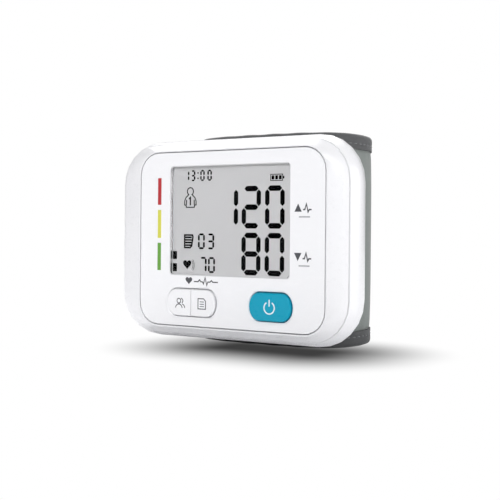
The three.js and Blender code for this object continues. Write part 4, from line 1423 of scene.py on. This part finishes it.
class Segment(Enum):
    """The bars of a display figure: middle as shares of its half width and height, and its way."""

    A = (0, 1, True)
    B = (1, 0.5, False)
    C = (1, -0.5, False)
    D = (0, -1, True)
    E = (-1, -0.5, False)
    F = (-1, 0.5, False)
    G = (0, 0, True)


LIT = {"0": "ADBCFE", "1": "BC", "2": "ABGED", "3": "ABGCD", "7": "ABC", "8": "AGDBCFE"}


@dataclass(frozen=True)
class FigureSize:
    """Size of one kind of display figure, its bars' thickness and the gap between them."""

    width: float
    height: float
    level_bar: float
    upright_bar: float
    gap: float


class FigureKind(Enum):
    """The kinds of display figure."""

    LARGE = FigureSize(6.68, 12.55, 1.62, 1.5, 0.26)
    SMALL = FigureSize(2.55, 4.8, 0.6, 0.64, 0.11)
    CLOCK = FigureSize(1.65, 3.35, 0.5, 0.52, 0.09)


class DisplayMarks(Marks):
    """Black liquid crystal figures and signs, on the display glass behind the window."""

    def figures(self, kind: FigureKind, z: float, places: dict[float, str]) -> None:
        """Fills the lit bars of a row of figures, each bar an oblong with pointed ends.

        Args:
            kind: the figures' size.
            z: their middle height.
            places: the figure shown at each middle x.
        """
        size = kind.value
        half_x = (size.width - size.upright_bar) / 2
        half_z = (size.height - size.level_bar) / 2
        for x, digit in places.items():
            for letter in LIT[digit]:
                share_x, share_z, level = Segment[letter].value
                half = (size.level_bar if level else size.upright_bar) / 2
                reach = half_x - size.gap / 2 if level else half_z / 2 - size.gap
                outline = np.array([[reach, 0], [reach - half, half], [half - reach, half],
                                    [-reach, 0], [half - reach, -half], [reach - half, -half]])
                self.fill((outline if level else outline[:, ::-1][::-1])
                          + (x + share_x * half_x, z + share_z * half_z))

    def page(self) -> None:
        """Draws the memory sign: a page with a turned corner and lines of writing."""
        self.line([(-15.85, -2.65), (-15.85, 1.2), (-12.9, 1.2), (-12.7, 0.7),
                   (-13.15, -2.1), (-13.75, -2.65)], 0.5, closed=True)
        for z in (0.5, -0.3, -1.1, -1.9):
            self.line([(-15.7, z), (-13.2, z)], 0.5)

    def pulse(self) -> None:
        """Draws the beating heart."""
        self.heart((-14.8, -7.95), 3.1)
        for radius in (2.2, 2.65):
            self.arc((-14.8, -7.95), radius, -38, 38, 0.13)

    def wearer(self) -> None:
        """Draws the wearer's sign: head, shoulders and arms in outline, with the figure 1."""
        turn = np.radians(np.linspace(-58, 238, 25))
        head = np.column_stack([1.15 * np.cos(turn), 1.9 + 1.15 * np.sin(turn)])
        flank = np.array([[-0.9, 0.7], [-1.7, 0.0], [-2.15, -1.0], [-2.2, -2.2], [-1.6, -2.3],
                          [-1.5, -2.95]])
        outline = np.concatenate([head, flank, flank[::-1] * (-1, 1)])
        self.line(outline + (-13.8, 12.65), 0.32, closed=True)
        for side in (-1, 1):
            self.line([(-13.8 + 1.45 * side, 12.0), (-13.8 + 1.5 * side, 10.5)], 0.34)
        self.line([(-14.3, 12.25), (-13.8, 12.7), (-13.8, 10.3)], 0.45)

    def charge(self) -> None:
        """Draws the battery sign: a cell in outline, with its bars and its plus end."""
        self.line([(15.1, 17.3), (15.1, 19.1), (19.2, 19.1), (19.2, 17.3)], 0.22, closed=True)
        self.bar(19.35, 17.8, 19.75, 18.6, 0.05)
        for x in (15.45, 16.7, 17.95):
            self.bar(x, 17.62, x + 0.9, 18.78, 0.05)


@dataclass
class Display:
    """What the display shows: two large readings, small readings, the clock and the signs."""

    workshop: Workshop
    aside: float = -0.8

    def build(self) -> None:
        """Makes the pieces, one for each group."""
        face = front_of("lcd_glass")
        groups = {name: DisplayMarks(face, aside=self.aside)
                  for name in ("readings", "counts", "clock", "signs")}
        readings, counts, clock, signs = groups.values()
        readings.figures(FigureKind.LARGE, 9.62, {0.47: "1", 8.49: "2", 16.62: "0"})
        readings.figures(FigureKind.LARGE, -4.17, {8.49: "8", 16.62: "0"})
        counts.figures(FigureKind.SMALL, -0.65, {-9.5: "0", -6.05: "3"})
        counts.figures(FigureKind.SMALL, -7.78, {-8.75: "7", -5.67: "0"})
        clock.figures(FigureKind.CLOCK, 19.35, {-15.1: "1", -12.83: "3", -9.31: "0", -6.65: "0"})
        for z in (18.5, 20.15):
            clock.bar(-11.2, z - 0.22, -10.76, z + 0.22, 0.1)
        for z in (-5.0, -8.8):
            signs.bar(-20.3, z - 1.25, -18.75, z + 1.25, 0.08)
        signs.page()
        signs.pulse()
        signs.wearer()
        signs.charge()
        for name, marks in groups.items():
            marks.build(f"display_{name}", self.workshop.get("crystal"), "display_glass",
                        Body.MONITOR)


@dataclass
class WindowSeal:
    """Grey foam strip in the gap between the window and the panel."""

    workshop: Workshop
    gap: float = 0.3
    width: float = 0.29
    corner: float = 0.85
    sunk: float = 0.09
    overlap: float = 0.02

    def build(self) -> None:
        """Carries the strip round the window, down to the display glass."""
        back = front_of("lcd_glass") - self.overlap
        low, high = (np.array(corner)[[0, 2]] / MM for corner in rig.box("display_lens"))
        turn = np.radians(np.arange(0, 91, 15))
        quarter = ((high - low) / 2 + self.gap / 2 - self.corner
                   + self.corner * np.column_stack([np.cos(turn), np.sin(turn)]))
        outline = np.concatenate([quarter, quarter[::-1] * (-1, 1), -quarter,
                                  quarter[::-1] * (1, -1)])
        strip = Marks(back, back - front_of("display_panel") - self.sunk)
        strip.line(outline + (low + high) / 2 - Marks.middle, self.width, closed=True)
        strip.build("window_foam_strip", self.workshop.get("foam"), "rubber", Body.MONITOR)


@dataclass
class PanelMarks:
    """Printed scale bars and signs on the display panel, in place of its lettering."""

    workshop: Workshop
    film: float = 0.03

    def build(self) -> None:
        """Makes the three scale bars, and the high, low and pulse signs."""
        face = front_of("display_panel")
        for name, ink, low, high in (("high", "ink_red", 10.5, 18.8),
                                     ("raised", "ink_yellow", 0.2, 8.9),
                                     ("normal", "ink_green", -9.8, -1.3)):
            bar = Marks(face, self.film)
            bar.bar(-26.35, low, -25.0, high, 0.1)
            bar.build(f"{name}_scale_bar", self.workshop.get(ink), "panel_plastic", Body.MONITOR)
        signs, units = Marks(face, self.film), Marks(face, self.film)
        for z, way in ((9.3, 1), (-4.6, -1)):
            signs.fill(np.array([(23.1, z - 1.1 * way), (25.5, z - 1.1 * way),
                                 (24.3, z + 1.2 * way)])[::way])
            signs.line([(25.9, z - 0.5), (26.5, z - 0.5), (27.0, z + 1.1), (27.55, z - 1.15),
                        (27.95, z - 0.5), (28.7, z - 0.5)], 0.4)
            units.bar(24.6, z - 2.75, 28.2, z - 2.4, 0.1)
        signs.heart((-14.1, -12.75), 2.5)
        signs.line([(-12.2, -12.9), (-10.6, -12.9), (-10.1, -12.3), (-9.6, -12.9), (-9.0, -12.9),
                    (-8.6, -13.5), (-8.0, -11.6), (-7.4, -13.9), (-7.0, -12.9), (-6.2, -12.9),
                    (-5.7, -12.4), (-5.2, -12.9), (-3.3, -12.9)], 0.34)
        for marks, name, ink in ((signs, "signs", "ink_grey"), (units, "rules", "ink_pale")):
            marks.build(f"printed_{name}", self.workshop.get(ink), "panel_plastic", Body.MONITOR)


@dataclass
class ButtonMarks:
    """Signs printed on the three buttons: on and off, wearer, and memory."""

    workshop: Workshop
    sunk: float = 0.012
    film: float = 0.0175
    stroke: float = 0.3

    def build(self) -> None:
        """Draws a ring with a bar, two people in outline, and a page."""
        face = front_of("start_stop_button") + self.sunk
        power, wearer, memory = (Marks(face, self.film) for _ in range(3))
        power.arc((15.1, -19.6), 1.75, 122, 418, 0.42)
        power.line([(15.1, -19.2), (15.1, -17.2)], 0.42)
        wearer.arc((-17.55, -18.95), 0.72, 0, 360, self.stroke)
        wearer.arc((-17.55, -21.2), 1.25, 4, 176, self.stroke)
        wearer.arc((-16.75, -18.95), 0.72, -62, 92, self.stroke)
        wearer.arc((-16.6, -21.2), 1.3, 4, 76, self.stroke)
        memory.line([(-10.3, -21.1), (-10.3, -18.0), (-8.2, -18.0), (-7.5, -18.75),
                     (-7.5, -21.1)], self.stroke, closed=True)
        for z in (-18.95, -19.65, -20.35):
            memory.line([(-9.7, z), (-8.1, z)], 0.24)
        white, grey = self.workshop.get("ink_white"), self.workshop.get("ink_grey")
        power.build("on_off_sign", white, "blue_plastic", Body.START_STOP)
        wearer.build("wearer_sign", grey, "white_plastic", Body.USER_KEY)
        memory.build("memory_sign", grey, "white_plastic", Body.MEMORY_KEY)


@dataclass(frozen=True)
class SoftBox:
    """An oblong lamp: its place, width and height in metres, and its power in watts."""

    name: str
    at: tuple[float, float, float]
    size: tuple[float, float]
    power: float


@dataclass
class Studio:
    """White sweep, soft lamps and the camera, at the photograph's angle."""

    camera_at: tuple[float, float, float] = (169.76, -276.38, 35.6)
    azimuth: float = 33.2
    roll: float = 0.5
    lens: float = 72.0
    sensor: float = 36.0
    shift: float = -0.038
    sky_light: float = 0.15
    mirror_light: float = 0.04
    floor_reach: float = 4.0
    # Painted shadow round the foot: its oblong's middle and half size, its fade in millimetres, and its darkest share.
    painted_shadow_middle: tuple[float, float, float] = (11.5, -20.7, 0.0)
    painted_shadow_half: tuple[float, float, float] = (14.5, 3.5, 0.0)
    painted_shadow_fade: float = 42.0
    painted_shadow_depth: float = 0.05
    lamps_face: float = 0.03
    lamps: tuple[SoftBox, ...] = (
        SoftBox("front_soft_box", (0.15, -0.95, 0.5), (0.7, 0.5), 5.8),
        SoftBox("side_soft_box", (1.05, 0.1, 0.3), (0.6, 0.4), 4.9),
        SoftBox("back_soft_box", (-0.35, 0.42, 0.88), (0.8, 0.8), 12.5))

    def camera(self) -> None:
        """Makes the camera, level and turned by the azimuth, with a slight roll."""
        data = bpy.data.cameras.new("camera")
        data.lens, data.sensor_width, data.shift_y = self.lens, self.sensor, self.shift
        data.clip_start, data.clip_end = 0.01, 50
        camera = new_object("camera", data)
        camera.location = [value * MM for value in self.camera_at]
        camera.rotation_euler = (Matrix.Rotation(math.radians(self.azimuth), 3, "Z")
                                 @ Matrix.Rotation(math.radians(90), 3, "X")
                                 @ Matrix.Rotation(math.radians(self.roll), 3, "Z")).to_euler()
        bpy.context.scene.camera = camera

    def seen(self, material: ID) -> Node:
        """Picks out the rays that show the background: straight ones, and those through glass.

        Args:
            material: the world, or the floor's material.

        Returns:
            The node, which gives 1 for those rays.
        """
        path = add_node(material, "LightPath")
        return add_node(material, "Math", {"operation": "MAXIMUM"}, {
            0: path.outputs["Is Camera Ray"], 1: path.outputs["Is Transmission Ray"]})

    def sky(self) -> None:
        """Makes a world that is white where it is seen, a soft even light, and dim in mirrors."""
        world = bpy.data.worlds.new("white_studio")
        world.use_nodes = True
        world.node_tree.nodes.clear()
        light, dim, white = (
            add_node(world, "Background", inputs={"Color": linear("FFFFFF"), "Strength": strength})
            for strength in (self.sky_light, self.mirror_light, 1.0))
        path = add_node(world, "LightPath")
        around = add_node(world, "MixShader", inputs={
            0: path.outputs["Is Glossy Ray"], 1: light, 2: dim})
        both = add_node(world, "MixShader", inputs={0: self.seen(world), 1: around, 2: white})
        add_node(world, "OutputWorld", inputs={"Surface": both})
        bpy.context.scene.world = world

    def floor(self) -> None:
        """Lays white paper, with a painted shadow round the object's foot.

        The painted shadow, in the emission that the camera sees, fades by a smooth step of the distance from an oblong
        under the object. Other rays see plain lit paper.
        """
        reach = self.floor_reach
        mesh = bpy.data.meshes.new("floor")
        mesh.from_pydata([(-reach, -reach, 0), (reach, -reach, 0), (reach, reach, 0),
                          (-reach, reach, 0)], [], [(0, 1, 2, 3)])
        paper, distance = new_material("matt_white_paper")
        for operation, other in (("SUBTRACT", self.painted_shadow_middle), ("ABSOLUTE", (0.0, 0.0, 0.0)),
                                 ("SUBTRACT", self.painted_shadow_half), ("MAXIMUM", (0.0, 0.0, 0.0)),
                                 ("LENGTH", (0.0, 0.0, 0.0))):
            distance = add_node(paper, "VectorMath", {"operation": operation}, {
                0: distance, 1: [value * MM for value in other]})
        # Painted shadow: the strength of the paper's emission falls to its depth near the oblong.
        light = add_node(paper, "MapRange", {"interpolation_type": "SMOOTHSTEP"}, {
            "Value": distance, "From Min": 0.0, "From Max": self.painted_shadow_fade * MM,
            "To Min": self.painted_shadow_depth, "To Max": 1.0})
        lit = add_node(paper, "BsdfDiffuse", inputs={"Color": linear("F7F7F8")})
        shown = add_node(paper, "Emission", inputs={"Color": linear("FFFFFF"), "Strength": light})
        both = add_node(paper, "MixShader", inputs={0: self.seen(paper), 1: lit, 2: shown})
        mesh.materials.append(finish_with(paper, both))
        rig.stage(new_object("floor", mesh))

    def lamp(self, box: SoftBox) -> None:
        """Hangs a soft box that faces the object.

        Args:
            box: its place, size and power.
        """
        data = bpy.data.lights.new(box.name, "AREA")
        data.shape, data.energy = "RECTANGLE", box.power
        data.size, data.size_y = box.size
        lamp = new_object(box.name, data)
        away = Vector((*box.at[:2], box.at[2] - self.lamps_face))
        lamp.rotation_euler = away.to_track_quat("Z", "Y").to_euler()
        lamp.location = box.at

    def build(self) -> None:
        """Sets up the camera, the background and the soft boxes."""
        self.camera()
        self.sky()
        self.floor()
        for box in self.lamps:
            self.lamp(box)
        bpy.context.scene.view_settings.view_transform = "Standard"


@dataclass
class Housing:
    """The smooth outer mouldings: two shells, the panel, the battery door and the three caps."""

    workshop: Workshop
    white: str = "white_plastic"

    def build(self) -> None:
        """Makes each moulding from its node. The two white caps part at their shared face."""
        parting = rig.box("memory_button")[0].x / MM
        for finish, shell in (
                ("shell", SmoothShell("front_housing", "front_moulding", self.white,
                                      Body.MONITOR, 0.3)),
                ("shell", SmoothShell("rear_housing", "rear_moulding", self.white,
                                      Body.MONITOR, 0.2)),
                ("shell", SmoothShell("battery_cover", "battery_door_moulding", self.white,
                                      Body.BATTERY_DOOR, 0.15)),
                ("panel", SmoothShell("display_panel", "panel_moulding", "panel_plastic",
                                      Body.MONITOR, 0.13)),
                ("blue", SmoothShell("start_stop_button", "on_off_cap", "blue_plastic",
                                     Body.START_STOP, 0.12)),
                ("panel", SmoothShell("user_button", "wearer_cap", self.white,
                                      Body.USER_KEY, 0.12, parting)),
                ("panel", SmoothShell("memory_button", "memory_cap", self.white,
                                      Body.MEMORY_KEY, 0.12, parting))):
            shell.build(self.workshop.get(finish))


@dataclass
class Cuff:
    """The sewn cuff: cover, lining, end rolls, edge tapes, stitches and flap."""

    workshop: Workshop

    def build(self) -> None:
        parts = (self.workshop, CuffPath())
        cover = CuffCover(*parts)
        sheet = cover.build()
        CuffLining(*parts).build()
        rolls = [CuffEndRoll(*parts, at_end).build() for at_end in (False, True)]
        tapes, rows = [], []
        for side in Side:
            binding = CuffBinding(*parts, side)
            tapes.append(binding.build())
            rows.append(binding.stitches())
        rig.sheet(sheet, flat=cover.flat_size(), held="stretched",
                 rests_on=["cuff_curl_plate"], with_pieces=[*tapes, *rows, *rolls])
        CuffFlap(*parts).build()


def main() -> None:
    """Builds the scene in order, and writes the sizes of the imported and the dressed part."""
    logging.basicConfig(level=logging.INFO, format="%(message)s")
    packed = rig.bounds()
    Studio().build()
    workshop = Workshop()
    workshop.dress_nodes()
    for assembly in (Housing, Display, WindowSeal, PanelMarks, ButtonMarks, Cuff):
        log.info("%s", assembly.__name__)
        assembly(workshop).build()
    sizes = {name: [[float(value) for value in corner] for corner in box]
             for name, box in (("cad", packed), ("visual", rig.bounds()))}
    with open("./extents.json", "w", encoding="utf-8") as file:
        json.dump(sizes, file)


if __name__ == "__main__":
    main()
